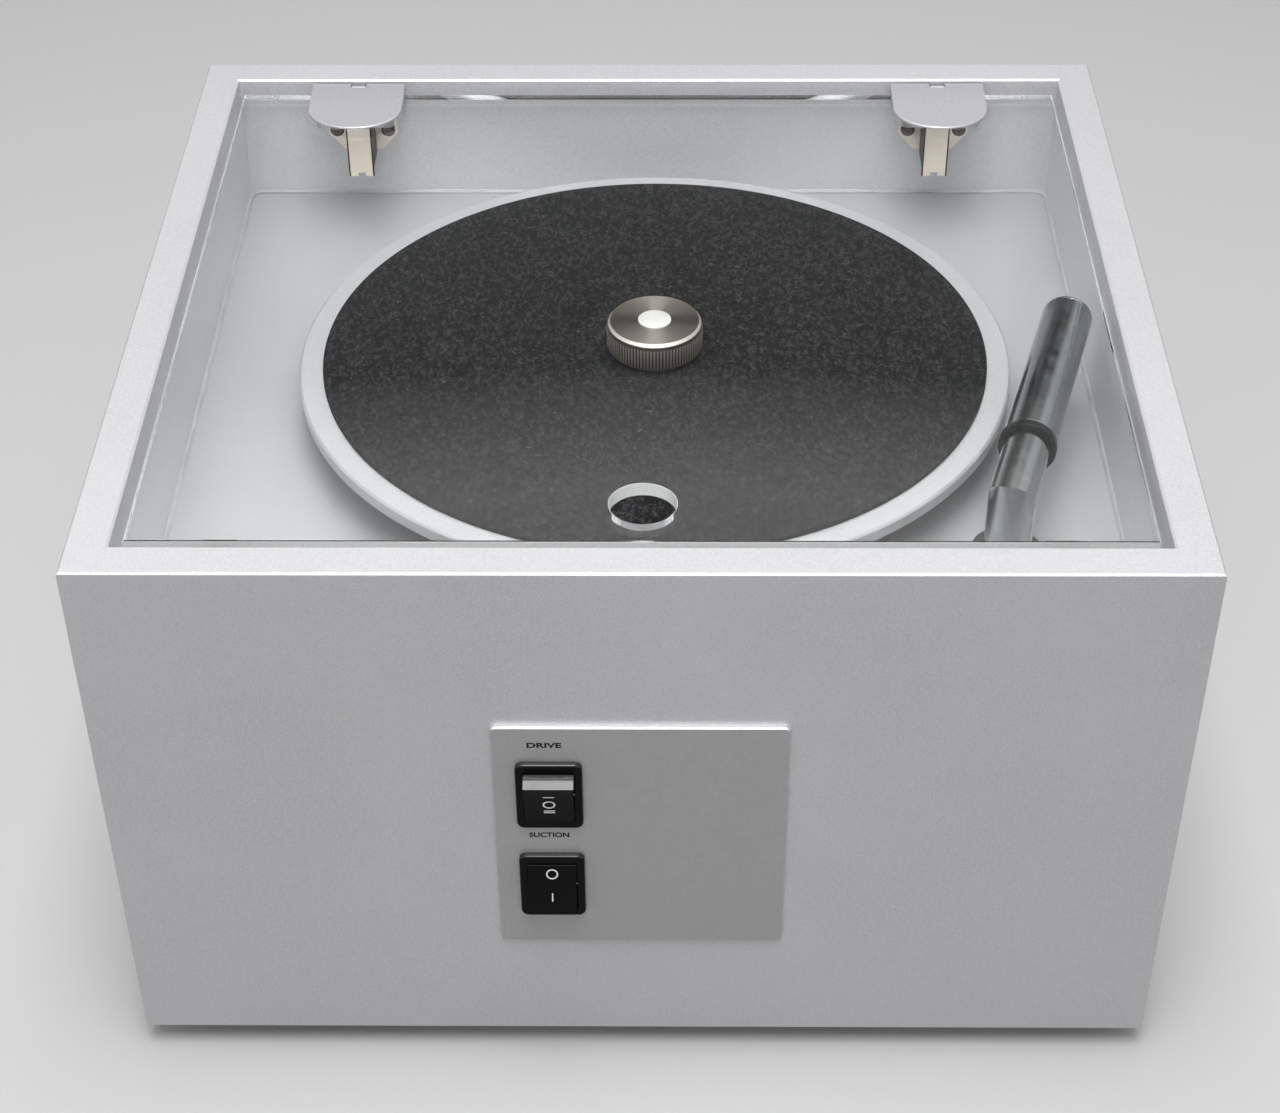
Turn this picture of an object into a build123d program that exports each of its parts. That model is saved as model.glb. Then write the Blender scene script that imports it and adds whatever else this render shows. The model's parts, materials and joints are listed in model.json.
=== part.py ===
from build123d import *
import math
import os

os.makedirs("parts", exist_ok=True)

# Record cleaning machine: a mitred cabinet with a sunk deck, a glass lid, a turning platter with a
# screw clamp, a swinging suction arm, and the tank, fan, motor and controls that work them.
# Millimetres and degrees. +X is right, +Y is back, +Z is up. The origin is on the floor, midway
# between the outermost faces in X and Y.

# ---------------------------------------------------------------- cabinet
cabinet_width = 405.0
cabinet_depth = 380.0
panel_height = 235.0
wall = 15.5
edge_break = 0.8
well_depth = 61.0
deck_thickness = 6.0
base_thickness = 10.0
plate_gap = 0.25
batten_size = 15.0
bead_size = 1.4
bead_corner = 5.0
foot_height = 10.0
foot_diameter = 38.0
foot_inset = 36.0
foot_edge = 1.5
foot_screw_room = 1.0

# ---------------------------------------------------------------- shared fasteners and fits
screw_shank = 4.0
screw_length = 10.0
screw_head = 8.0
screw_head_height = 2.6
screw_fit = 0.1
running_fit = 0.05
seat_fit = 0.1
clear_gap = 0.3

# ---------------------------------------------------------------- control plate and switches
plate_width = 110.0
plate_height = 112.0
plate_thickness = 2.0
plate_corner = 2.5
plate_bevel = 0.6
plate_x = -0.5
plate_z = 119.5
switch_x = -34.3
motor_switch_z = 143.0
vacuum_switch_z = 96.2
bezel_width = 25.0
bezel_height = 32.0
bezel_thickness = 2.5
bezel_corner = 3.0
bezel_edge = 0.8
body_width = 21.6
body_height = 28.4
body_depth = 26.0
rocker_width = 18.6
rocker_radius = 12.0
rocker_face = 4.9
rocker_back = 3.2
rocker_hollow = 0.5
rocker_tilt = 14.0
rocker_side_gap = 0.3
rocker_end_gap = 0.4
pivot_depth = 1.5
pivot_pin = 1.5
pivot_pin_length = 0.9
blade_width = 4.8
blade_thickness = 0.8
blade_length = 8.0
blade_pitch_x = 10.0
blade_pitch_z = 9.0
blade_column_count = 2
motor_blade_row_count = 3
vacuum_blade_row_count = 2

# ---------------------------------------------------------------- glass lid and its hinges
glass_thickness = 6.0
lid_recess = 4.6
lid_side_gap = 3.2
lid_front_gap = 9.0
lid_back_gap = 5.5
lid_edge = 0.4
finger_hole = 25.5
finger_hole_x = 0.5
finger_hole_from_front = 31.8
hinge_x = 131.8
cap_width = 42.0
cap_square = 21.0
cap_round = 16.0
cap_thickness = 3.4
cap_front_thickness = 0.9
cap_flat = 6.5
cap_back_gap = 1.0
cap_edge = 0.4
clamp_plate_thickness = 2.0
clamp_plate_width = 35.0
clamp_plate_depth = 20.5
clamp_plate_corner = 3.0
clamp_plate_back = 8.0
lid_bolt = 4.0
lid_bolt_head = 7.0
lid_bolt_head_height = 1.8
lid_bolt_bite = 1.6
lid_bolt_pitch = 20.0
lid_bolt_from_wall = 18.0
lid_bolt_hole = 6.0
pin_radius = 0.8
knuckle_radius = 1.4
knuckle_lift = 0.35
knuckle_from_wall = 2.9
knuckle_width = 6.0
knuckle_side_gap = 0.5
knuckle_notch = 4.9
pin_overhang = 5.0
strap_thickness = 1.2
hinge_arm_width = 11.5
hinge_arm_depth = 16.5
hinge_arm_wall = 1.3
hinge_arm_length = 24.0
hinge_arm_tip = 3.5
hinge_arm_top = 226.5
wing_thickness = 1.5
wing_half_width = 15.8
wing_top = 224.0
wing_shoulder = 8.5
wing_height = 16.5
wing_foot = 9.0
wing_screw_x = 11.8
wing_screw_z = 217.5
wing_screw_shank = 3.4
wing_screw_length = 12.0
wing_screw_head = 6.4
wing_screw_head_height = 1.8
pad_width = 12.0
pad_depth = 14.0
pad_height = 6.0
pad_x = 150.0

# ---------------------------------------------------------------- platter, its bearing and its drive
platter_x = 4.0
platter_y = 1.0
platter_diameter = 292.0
platter_thickness = 6.0
platter_bevel = 1.0
mat_diameter = 272.4
mat_thickness = 2.0
mat_top = 209.5
hub_diameter = 38.0
shaft_diameter = 12.0
shaft_bottom = 92.0
spindle_diameter = 7.1
spindle_top = 219.0
spindle_edge = 1.0
housing_diameter = 32.0
housing_bottom = 122.0
flange_diameter = 62.0
flange_thickness = 4.0
flange_screw_circle = 48.0
bush_diameter = 18.0
bush_length = 20.0
bush_flange = 24.0
bush_flange_thickness = 1.5
pulley_diameter = 100.0
pulley_thickness = 14.0
pulley_bottom = 96.0
pulley_groove = 1.5
pulley_lip = 2.5
small_pulley_diameter = 18.0
belt_thickness = 1.5
belt_width = 8.0
motor_x = -66.0
motor_y = -75.0
motor_diameter = 56.0
motor_height = 52.0
motor_shaft_diameter = 6.0
motor_shaft_overhang = 1.0
motor_plate_size = 72.0
motor_plate_thickness = 4.0
motor_plate_hole = 20.0
motor_screw_pitch = 60.0

# ---------------------------------------------------------------- record clamp
knob_diameter = 39.5
knob_top = 223.5
knob_bevel = 1.6
knob_bore_roof = 3.0
knurl_count = 90
knurl_depth = 0.5
knurl_top_margin = 2.6
knurl_bottom_margin = 0.8
badge_diameter = 13.5
badge_height = 0.4
clamp_pad_diameter = 36.0
clamp_pad_thickness = 2.0

# ---------------------------------------------------------------- suction arm
arm_from_side = 49.0
arm_from_front = 57.5
arm_z = 222.8
arm_angle = 74.0
arm_tube_diameter = 18.0
arm_tube_wall = 1.5
arm_tube_bottom = 106.0
arm_stub = 60.0
nozzle_diameter = 20.6
nozzle_wall = 1.2
nozzle_start = 33.3
nozzle_end = 125.3
slot_width = 3.0
slot_start = 42.0
slot_end = 116.0
velvet_thickness = 0.9
velvet_start = 38.0
velvet_end = 119.0
velvet_from_angle = 10.0
velvet_to_angle = 62.0
end_cap_thickness = 1.4
end_cap_plug = 4.0
collar_diameter = 22.4
collar_length = 3.6
arm_bush_diameter = 27.0
arm_bush_height = 14.0
arm_bush_neck = 24.0
arm_bush_bottom = 158.0
arm_bush_edge = 1.5
stop_ring_diameter = 27.0
stop_ring_height = 6.0
spring_wire = 1.2
spring_coil_diameter = 24.0
spring_turns = 6

# ---------------------------------------------------------------- waste tank and its drain
tank_width = 82.0
tank_side_gap = 7.0
tank_front_gap = 14.5
tank_back_gap = 9.5
tank_bottom = 20.0
tank_height = 80.0
tank_wall = 2.5
tank_corner = 8.0
tank_lid_thickness = 4.0
tank_lid_lip = 3.0
socket_height = 21.0
socket_wall = 3.0
socket_floor = 3.0
socket_throat = 13.0
spout_z = 46.0
spout_diameter = 14.0
spout_bore = 9.0
spout_flange = 22.0
spout_flange_thickness = 3.0
spout_reach = 8.0
cap_wall = 2.5
cap_length = 9.0
drain_cap_roof = 2.5

# ---------------------------------------------------------------- vacuum fan
fan_from_side = 77.0
fan_from_back = 99.5
fan_diameter = 124.0
fan_height = 32.0
fan_wall = 2.5
fan_bottom = 80.0
vacuum_motor_diameter = 96.0
vacuum_motor_bottom = 28.0
vacuum_shaft_diameter = 8.0
mount_ring_outer = 104.0
mount_ring_inner = 80.0
mount_ring_lip = 6.0
impeller_gap = 3.5
impeller_lift = 2.0
impeller_blade_count = 9
impeller_disc = 2.0
impeller_blade_height = 14.0
impeller_blade_thickness = 2.0
impeller_blade_inset = 2.0
impeller_hub = 26.0
spigot_diameter = 22.0
spigot_bore = 18.0
spigot_height = 14.0
outlet_width = 44.0
outlet_height = 22.0
outlet_wall = 2.0
exhaust_slot_count = 9
exhaust_slot_width = 3.4
exhaust_slot_height = 40.0
exhaust_slot_pitch = 8.0
hose_wall = 3.0
hose_bend = 28.0
hose_level = 156.0

# ---------------------------------------------------------------- mains side
window_from_side = 15.0
window_z = 68.0
window_width = 132.0
window_height = 66.0
service_margin = 8.0
service_thickness = 2.0
inlet_from_window = 40.0
inlet_z = 68.0
inlet_width = 32.0
inlet_height = 44.0
inlet_flange = 2.0
inlet_inset = 2.2
inlet_depth = 26.0
socket_width = 24.0
socket_opening = 17.0
socket_depth = 17.0
socket_up = 8.0
socket_corner = 2.0
inlet_pin_width = 4.0
inlet_pin_thickness = 2.0
inlet_pin_length = 13.0
inlet_pin_pitch = 7.0
inlet_pin_rise = 3.5
drawer_width = 24.0
drawer_height = 9.0
drawer_depth = 20.0
drawer_down = 13.0
drawer_lip = 1.6
fuse_diameter = 5.0
fuse_length = 18.0
fuse_pocket = 6.0
fuse_set_back = 1.0
transformer_x = 5.0
transformer_from_back = 62.5
transformer_outer = 84.0
transformer_inner = 26.0
transformer_height = 38.0
transformer_edge = 6.0

# ---------------------------------------------------------------- places worked out from the sizes
rocker_half_tip = math.degrees(math.asin(rocker_face / rocker_radius))
rocker_reach = rocker_radius * math.sin(math.radians(rocker_half_tip + rocker_tilt)) - pivot_depth
front_proud = plate_thickness + bezel_thickness + rocker_reach
mid_y = front_proud / 2
half_width = cabinet_width / 2
half_depth = cabinet_depth / 2
front_y = mid_y - half_depth
back_y = mid_y + half_depth
inner_half_width = half_width - wall
inner_front_y = front_y + wall
inner_back_y = back_y - wall
inner_half_depth = half_depth - wall
arm_x = inner_half_width - arm_from_side
arm_y = arm_from_front - inner_half_depth
tank_x = inner_half_width - tank_side_gap - tank_width / 2
tank_front = tank_front_gap - inner_half_depth
tank_back = inner_half_depth - tank_back_gap
spout_x = tank_x
fan_x = fan_from_side - inner_half_width
fan_y = inner_half_depth - fan_from_back
hose_spigot_y = fan_y
impeller_diameter = fan_diameter - 2 * (fan_wall + impeller_gap)
window_x = inner_half_width - window_from_side - window_width / 2
inlet_x = window_x - inlet_from_window
transformer_y = inner_half_depth - transformer_from_back
cabinet_bottom = foot_height
cabinet_top = cabinet_bottom + panel_height
base_top = cabinet_bottom + base_thickness
deck_top = cabinet_top - well_depth
deck_bottom = deck_top - deck_thickness
plate_front_y = front_y - plate_thickness
bezel_front_y = plate_front_y - bezel_thickness
pivot_y = bezel_front_y + pivot_depth
lid_top = cabinet_top - lid_recess
lid_bottom = lid_top - glass_thickness
axis_y = inner_back_y - knuckle_from_wall
axis_z = lid_top + knuckle_lift + knuckle_radius
platter_centre_y = mid_y + platter_y
platter_top = mat_top - mat_thickness
platter_bottom = platter_top - platter_thickness
flange_top = deck_top + flange_thickness
hub_bottom = flange_top + bush_flange_thickness + running_fit
pulley_belt_z = pulley_bottom + pulley_thickness / 2
drive_centre_y = mid_y + motor_y
knob_bottom = mat_top + clamp_pad_thickness
arm_centre_y = mid_y + arm_y
arm_ahead = (math.cos(math.radians(arm_angle)), math.sin(math.radians(arm_angle)), 0)
tank_top = tank_bottom + tank_height
tank_lid_top = tank_top + tank_lid_thickness
fan_centre_y = mid_y + fan_y
fan_top = fan_bottom + fan_height
flange_face_y = inner_back_y + inlet_flange
foot_places = [
    (sx * (half_width - foot_inset), mid_y + sy * (half_depth - foot_inset))
    for sx in (-1, 1)
    for sy in (-1, 1)
]
hinge_places = [-hinge_x, hinge_x]


def facing_front(y):
    """A plane that looks out of the front, with local x to the right and local y up."""
    return Plane(origin=(0, y, 0), x_dir=(1, 0, 0), z_dir=(0, -1, 0))


def facing_back(y):
    """A plane that looks out of the back, with local x to the left and local y up."""
    return Plane(origin=(0, y, 0), x_dir=(-1, 0, 0), z_dir=(0, 1, 0))


def facing_side(x):
    """A plane that looks to the right, with local x to the back and local y up."""
    return Plane(origin=(x, 0, 0), x_dir=(0, 1, 0), z_dir=(1, 0, 0))


def across_arm(distance):
    """A plane square to the suction arm, at a distance from its pivot, with local y up."""
    origin = (
        arm_x + distance * arm_ahead[0],
        arm_centre_y + distance * arm_ahead[1],
        arm_z,
    )
    return Plane(origin=origin, x_dir=(arm_ahead[1], -arm_ahead[0], 0), z_dir=arm_ahead)


def finish(builder, name):
    """Label the finished piece and write it."""
    builder.part.label = name
    export_step(builder.part, f"parts/{name}.step")
    print(name, len(builder.part.solids()), round(builder.part.volume, 1))


def mitred_panel(x_dir, half_length, half_across):
    """A cabinet panel with mitred ends, its outer long edges broken, standing on the floor plane."""
    plane = Plane(origin=(0, mid_y, cabinet_bottom), x_dir=x_dir, z_dir=(0, 0, 1))
    with BuildPart() as panel:
        with BuildSketch(plane):
            with BuildLine():
                Polyline(
                    (-half_length, -half_across),
                    (half_length, -half_across),
                    (half_length - wall, wall - half_across),
                    (wall - half_length, wall - half_across),
                    close=True,
                )
            make_face()
        extrude(amount=panel_height)
        top_edges = panel.faces().sort_by(Axis.Z)[-1].edges().sort_by(SortBy.LENGTH)[-2:]
        bottom_edge = panel.faces().sort_by(Axis.Z)[0].edges().sort_by(SortBy.LENGTH)[-1:]
        chamfer(top_edges + bottom_edge, edge_break)
    return panel.part


def round_bar(centre, direction, radius, length, mode=Mode.ADD):
    """A cylinder that starts at centre and runs length along direction, made in the open part."""
    with BuildSketch(Plane(origin=centre, z_dir=direction)) as disc:
        Circle(radius)
    extrude(disc.sketch, amount=length, mode=mode)


def pan_screw(seat, direction, shank, length, head, head_height):
    """A pan-head screw whose head rests on seat and whose shank runs along direction."""
    with BuildPart() as screw:
        round_bar(seat, direction, shank / 2, length)
        back = tuple(-value for value in direction)
        round_bar(seat, back, head / 2, head_height)
        crown = screw.faces().sort_by(Axis(seat, direction))[0]
        fillet(crown.edges(), head_height * 0.55)
        drive = Plane(origin=crown.center(), z_dir=back)
        with BuildSketch(drive):
            Rectangle(head * 0.5, head * 0.11)
            Rectangle(head * 0.11, head * 0.5)
        extrude(amount=-head_height * 0.5, mode=Mode.SUBTRACT)
    return screw.part


# ================================================================ cabinet
back_window = (window_x, window_z)
exhaust_places = [
    (fan_x + (index - (exhaust_slot_count - 1) / 2) * exhaust_slot_pitch, fan_bottom + fan_height / 2)
    for index in range(exhaust_slot_count)
]
service_screw_places = [
    (
        window_x + sx * (window_width + service_margin) / 2,
        window_z + sz * (window_height + service_margin) / 2,
    )
    for sx in (-1, 1)
    for sz in (-1, 1)
]
wing_screw_places = [
    (centre + side * wing_screw_x, wing_screw_z)
    for centre in hinge_places
    for side in (-1, 1)
]

with BuildPart() as front_panel:
    add(mitred_panel((1, 0, 0), half_width, half_depth))
    with BuildSketch(facing_front(front_y)):
        with Locations((switch_x, motor_switch_z), (switch_x, vacuum_switch_z)):
            Rectangle(body_width + 2 * clear_gap, body_height + 2 * clear_gap)
    extrude(amount=-wall, mode=Mode.SUBTRACT)
finish(front_panel, "front_panel")

with BuildPart() as back_panel:
    add(mitred_panel((-1, 0, 0), half_width, half_depth))
    with BuildSketch(facing_front(inner_back_y)):
        with Locations(back_window):
            Rectangle(window_width, window_height)
        with Locations(*exhaust_places):
            SlotCenterToCenter(exhaust_slot_height, exhaust_slot_width, rotation=90)
    extrude(amount=-wall, mode=Mode.SUBTRACT)
    with BuildSketch(facing_front(inner_back_y)):
        with Locations(*wing_screw_places):
            Circle(wing_screw_shank / 2 + screw_fit)
    extrude(amount=-(wing_screw_length - wing_thickness + screw_fit), mode=Mode.SUBTRACT)
    with BuildSketch(facing_front(inner_back_y)):
        with Locations(*service_screw_places):
            Circle(screw_shank / 2 + screw_fit)
    extrude(amount=-(screw_length - service_thickness + screw_fit), mode=Mode.SUBTRACT)
finish(back_panel, "back_panel")

with BuildPart() as left_panel:
    add(mitred_panel((0, -1, 0), half_depth, half_width))
finish(left_panel, "left_panel")

with BuildPart() as right_panel:
    add(mitred_panel((0, 1, 0), half_depth, half_width))
finish(right_panel, "right_panel")

flange_screw_places = [
    (
        platter_x + flange_screw_circle / 2 * math.cos(math.radians(angle)),
        platter_centre_y + flange_screw_circle / 2 * math.sin(math.radians(angle)),
    )
    for angle in (90, 210, 330)
]
motor_screw_places = [
    (motor_x + sx * motor_screw_pitch / 2, drive_centre_y + sy * motor_screw_pitch / 2)
    for sx in (-1, 1)
    for sy in (-1, 1)
]

with BuildPart() as deck:
    with BuildSketch(Plane.XY.offset(deck_bottom)):
        with Locations((0, mid_y)):
            Rectangle(2 * (inner_half_width - plate_gap), 2 * (inner_half_depth - plate_gap))
        with Locations((platter_x, platter_centre_y)):
            Circle(housing_diameter / 2 + seat_fit, mode=Mode.SUBTRACT)
        with Locations((arm_x, arm_centre_y)):
            Circle(arm_bush_neck / 2 + seat_fit, mode=Mode.SUBTRACT)
        with Locations(*flange_screw_places, *motor_screw_places):
            Circle(screw_shank / 2 + screw_fit, mode=Mode.SUBTRACT)
    extrude(amount=deck_thickness)
finish(deck, "deck")

with BuildPart() as deck_battens:
    for side in (-1, 1):
        with BuildSketch(Plane.XY.offset(deck_bottom)):
            with Locations((side * (inner_half_width - batten_size / 2), mid_y)):
                Rectangle(batten_size, 2 * (inner_half_depth - plate_gap))
        extrude(amount=-batten_size)
finish(deck_battens, "deck_battens")

with BuildPart() as deck_seal:
    with BuildSketch(Plane.XY.offset(deck_top)):
        with Locations((0, mid_y)):
            Rectangle(2 * inner_half_width, 2 * inner_half_depth)
            RectangleRounded(
                2 * (inner_half_width - bead_size),
                2 * (inner_half_depth - bead_size),
                bead_corner,
                mode=Mode.SUBTRACT,
            )
    extrude(amount=bead_size)
    inner_wire = deck_seal.faces().sort_by(Axis.Z)[-1].inner_wires()[0]
    chamfer(inner_wire.edges(), bead_size * 0.6)
finish(deck_seal, "deck_seal")

with BuildPart() as base_plate:
    with BuildSketch(Plane.XY.offset(cabinet_bottom)):
        with Locations((0, mid_y)):
            Rectangle(2 * (inner_half_width - plate_gap), 2 * (inner_half_depth - plate_gap))
        with Locations(*foot_places):
            Circle(screw_shank / 2 + screw_fit, mode=Mode.SUBTRACT)
    extrude(amount=base_thickness)
finish(base_plate, "base_plate")

foot_seat = foot_height / 2
with BuildPart() as feet:
    for place in foot_places:
        with BuildPart(mode=Mode.PRIVATE) as foot:
            with Locations((place[0], place[1], foot_height / 2)):
                Cylinder(foot_diameter / 2, foot_height)
            chamfer(foot.faces().sort_by(Axis.Z)[0].edges(), foot_edge)
            head_room = screw_head / 2 + foot_screw_room
            round_bar((place[0], place[1], 0), (0, 0, 1), head_room, foot_seat, Mode.SUBTRACT)
            round_bar(
                (place[0], place[1], 0), (0, 0, 1), screw_shank / 2 + screw_fit, foot_height, Mode.SUBTRACT
            )
        add(foot.part)
finish(feet, "feet")

# ================================================================ control plate and switches
switch_rows = [(motor_switch_z, motor_blade_row_count), (vacuum_switch_z, vacuum_blade_row_count)]

with BuildPart() as control_plate:
    with BuildSketch(facing_front(front_y)):
        with Locations((plate_x, plate_z)):
            RectangleRounded(plate_width, plate_height, plate_corner)
    extrude(amount=plate_thickness)
    chamfer(control_plate.faces().sort_by(Axis.Y)[0].edges(), plate_bevel)
    with BuildSketch(facing_front(front_y)):
        with Locations((switch_x, motor_switch_z), (switch_x, vacuum_switch_z)):
            Rectangle(body_width + 2 * clear_gap, body_height + 2 * clear_gap)
    extrude(amount=plate_thickness, mode=Mode.SUBTRACT)
finish(control_plate, "control_plate")


def switch_body(centre_z):
    """A rocker switch housing: a bezel on the plate and a body through the panel."""
    well_height = 2 * (rocker_radius + rocker_end_gap)
    well_width = rocker_width + 2 * rocker_side_gap
    tail = math.hypot(rocker_back, math.sqrt(rocker_radius**2 - rocker_back**2) * 0.35)
    well_reach = pivot_depth + tail + rocker_radius * math.sin(math.radians(rocker_tilt)) + clear_gap
    with BuildPart() as body:
        with BuildSketch(facing_front(plate_front_y)):
            with Locations((switch_x, centre_z)):
                RectangleRounded(bezel_width, bezel_height, bezel_corner)
        extrude(amount=bezel_thickness)
        fillet(body.faces().sort_by(Axis.Y)[0].edges(), bezel_edge)
        with BuildSketch(facing_front(plate_front_y)):
            with Locations((switch_x, centre_z)):
                Rectangle(body_width, body_height)
        extrude(amount=-body_depth)
        with BuildSketch(facing_front(bezel_front_y)):
            with Locations((switch_x, centre_z)):
                Rectangle(well_width, well_height)
        extrude(amount=-well_reach, mode=Mode.SUBTRACT)
        pin_span = rocker_width + 2 * pivot_pin_length + 2 * seat_fit
        start = (switch_x - pin_span / 2, pivot_y, centre_z)
        round_bar(start, (1, 0, 0), pivot_pin / 2 + running_fit, pin_span, Mode.SUBTRACT)
    return body.part


def rocker(centre_z, tilt):
    """A rocker with round ends about its pivot, a hollow face and a pivot pin at each side."""
    turn = math.radians(tilt)
    plane = Plane(
        origin=(switch_x - rocker_width / 2, pivot_y, centre_z),
        x_dir=(0, math.cos(turn), math.sin(turn)),
        z_dir=(1, 0, 0),
    )
    half_face = math.sqrt(rocker_radius**2 - rocker_face**2)
    hollow_radius = (half_face**2 + rocker_hollow**2) / (2 * rocker_hollow)
    with BuildPart() as piece:
        with BuildSketch(plane):
            Circle(rocker_radius)
            with Locations(((rocker_back - rocker_face) / 2, 0)):
                Rectangle(rocker_back + rocker_face, 2 * rocker_radius, mode=Mode.INTERSECT)
            with Locations((rocker_hollow - rocker_face - hollow_radius, 0)):
                Circle(hollow_radius, mode=Mode.SUBTRACT)
        extrude(amount=rocker_width)
        pin_span = rocker_width + 2 * pivot_pin_length
        start = (switch_x - pin_span / 2, pivot_y, centre_z)
        round_bar(start, (1, 0, 0), pivot_pin / 2, pin_span)
    return piece.part


with BuildPart() as switch_bodies:
    add(switch_body(motor_switch_z))
    add(switch_body(vacuum_switch_z))
finish(switch_bodies, "switch_bodies")

with BuildPart() as motor_rocker:
    add(rocker(motor_switch_z, rocker_tilt))
finish(motor_rocker, "motor_rocker")

with BuildPart() as vacuum_rocker:
    add(rocker(vacuum_switch_z, -rocker_tilt))
finish(vacuum_rocker, "vacuum_rocker")

body_back_y = plate_front_y + body_depth
with BuildPart() as switch_terminals:
    for centre_z, rows in switch_rows:
        with BuildSketch(facing_back(body_back_y)):
            with Locations((-switch_x, centre_z)):
                with GridLocations(blade_pitch_x, blade_pitch_z, blade_column_count, rows):
                    Rectangle(blade_width, blade_thickness)
        extrude(amount=blade_length)
finish(switch_terminals, "switch_terminals")

# ================================================================ glass lid and hinges
lid_front_y = inner_front_y + lid_front_gap
lid_back_y = inner_back_y - lid_back_gap
lid_width = 2 * (inner_half_width - lid_side_gap)
lid_depth = lid_back_y - lid_front_y
bolt_y = inner_back_y - lid_bolt_from_wall
bolt_places = [
    (centre + side * lid_bolt_pitch / 2, bolt_y) for centre in hinge_places for side in (-1, 1)
]

with BuildPart() as lid_glass:
    with BuildSketch(Plane.XY.offset(lid_bottom)):
        with Locations((0, (lid_front_y + lid_back_y) / 2)):
            Rectangle(lid_width, lid_depth)
        with Locations((finger_hole_x, inner_front_y + finger_hole_from_front)):
            Circle(finger_hole / 2, mode=Mode.SUBTRACT)
        with Locations(*bolt_places):
            Circle(lid_bolt_hole / 2, mode=Mode.SUBTRACT)
    extrude(amount=glass_thickness)
    chamfer(lid_glass.faces().sort_by(Axis.Z)[-1].outer_wire().edges(), lid_edge)
finish(lid_glass, "lid_glass")


cap_ridge_y = inner_back_y - cap_flat
cap_nose_y = inner_back_y - cap_back_gap - cap_square - cap_round
cap_slope = (cap_thickness - cap_front_thickness) / (cap_ridge_y - cap_nose_y)
cap_cut_y = cap_nose_y - clear_gap
cap_cut_height = cap_front_thickness - cap_slope * clear_gap
with BuildPart() as hinge_caps:
    for centre in hinge_places:
        with BuildPart(mode=Mode.PRIVATE) as hinge_cap:
            with BuildSketch(Plane.XY.offset(lid_top)):
                with Locations((centre, inner_back_y - cap_back_gap - cap_square / 2)):
                    Rectangle(cap_width, cap_square)
                with Locations((centre, inner_back_y - cap_back_gap - cap_square)):
                    Ellipse(cap_width / 2, cap_round)
            extrude(amount=cap_thickness)
            with BuildSketch(facing_side(centre - cap_width / 2)):
                with BuildLine():
                    Polyline(
                        (cap_ridge_y, lid_top + cap_thickness),
                        (cap_cut_y, lid_top + cap_cut_height),
                        (cap_cut_y, lid_top + cap_thickness),
                        close=True,
                    )
                make_face()
            extrude(amount=cap_width, mode=Mode.SUBTRACT)
            rim = []
            for edge in hinge_cap.edges():
                middle = edge.center()
                upright = abs(edge.tangent_at(0).Z) > 0.9
                ridge = abs(middle.Y - cap_ridge_y) < 0.01
                if middle.Z > lid_top + cap_front_thickness / 2 and not upright and not ridge:
                    rim.append(edge)
            chamfer(rim, cap_edge)
            with BuildSketch(Plane.XY.offset(lid_top)):
                with Locations((centre, inner_back_y - knuckle_notch / 2)):
                    Rectangle(knuckle_width + 2 * knuckle_side_gap, knuckle_notch)
            extrude(amount=cap_thickness, mode=Mode.SUBTRACT)
            pin_half = knuckle_width / 2 + pin_overhang + seat_fit
            start = (centre - pin_half, axis_y, axis_z)
            round_bar(start, (1, 0, 0), pin_radius + running_fit, 2 * pin_half, Mode.SUBTRACT)
            with BuildSketch(Plane.XY.offset(lid_top)):
                with Locations((centre - lid_bolt_pitch / 2, bolt_y), (centre + lid_bolt_pitch / 2, bolt_y)):
                    Circle(lid_bolt / 2 + screw_fit)
            extrude(amount=lid_bolt_bite + screw_fit, mode=Mode.SUBTRACT)
        add(hinge_cap.part)
finish(hinge_caps, "hinge_caps")

with BuildPart() as hinge_clamps:
    for centre in hinge_places:
        with BuildSketch(Plane.XY.offset(lid_bottom)):
            with Locations((centre, inner_back_y - clamp_plate_back - clamp_plate_depth / 2)):
                RectangleRounded(clamp_plate_width, clamp_plate_depth, clamp_plate_corner)
            with Locations((centre - lid_bolt_pitch / 2, bolt_y), (centre + lid_bolt_pitch / 2, bolt_y)):
                Circle(lid_bolt / 2 + screw_fit, mode=Mode.SUBTRACT)
        extrude(amount=-clamp_plate_thickness)
finish(hinge_clamps, "hinge_clamps")

lid_bolt_seat = lid_bottom - clamp_plate_thickness
lid_bolt_length = clamp_plate_thickness + glass_thickness + lid_bolt_bite
with BuildPart() as lid_bolts:
    for x, y in bolt_places:
        add(
            pan_screw(
                (x, y, lid_bolt_seat),
                (0, 0, 1),
                lid_bolt,
                lid_bolt_length,
                lid_bolt_head,
                lid_bolt_head_height,
            )
        )
finish(lid_bolts, "lid_bolts")

with BuildPart() as hinge_pins:
    for centre in hinge_places:
        pin_half = knuckle_width / 2 + pin_overhang
        round_bar((centre - pin_half, axis_y, axis_z), (1, 0, 0), pin_radius, 2 * pin_half)
finish(hinge_pins, "hinge_pins")

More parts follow.
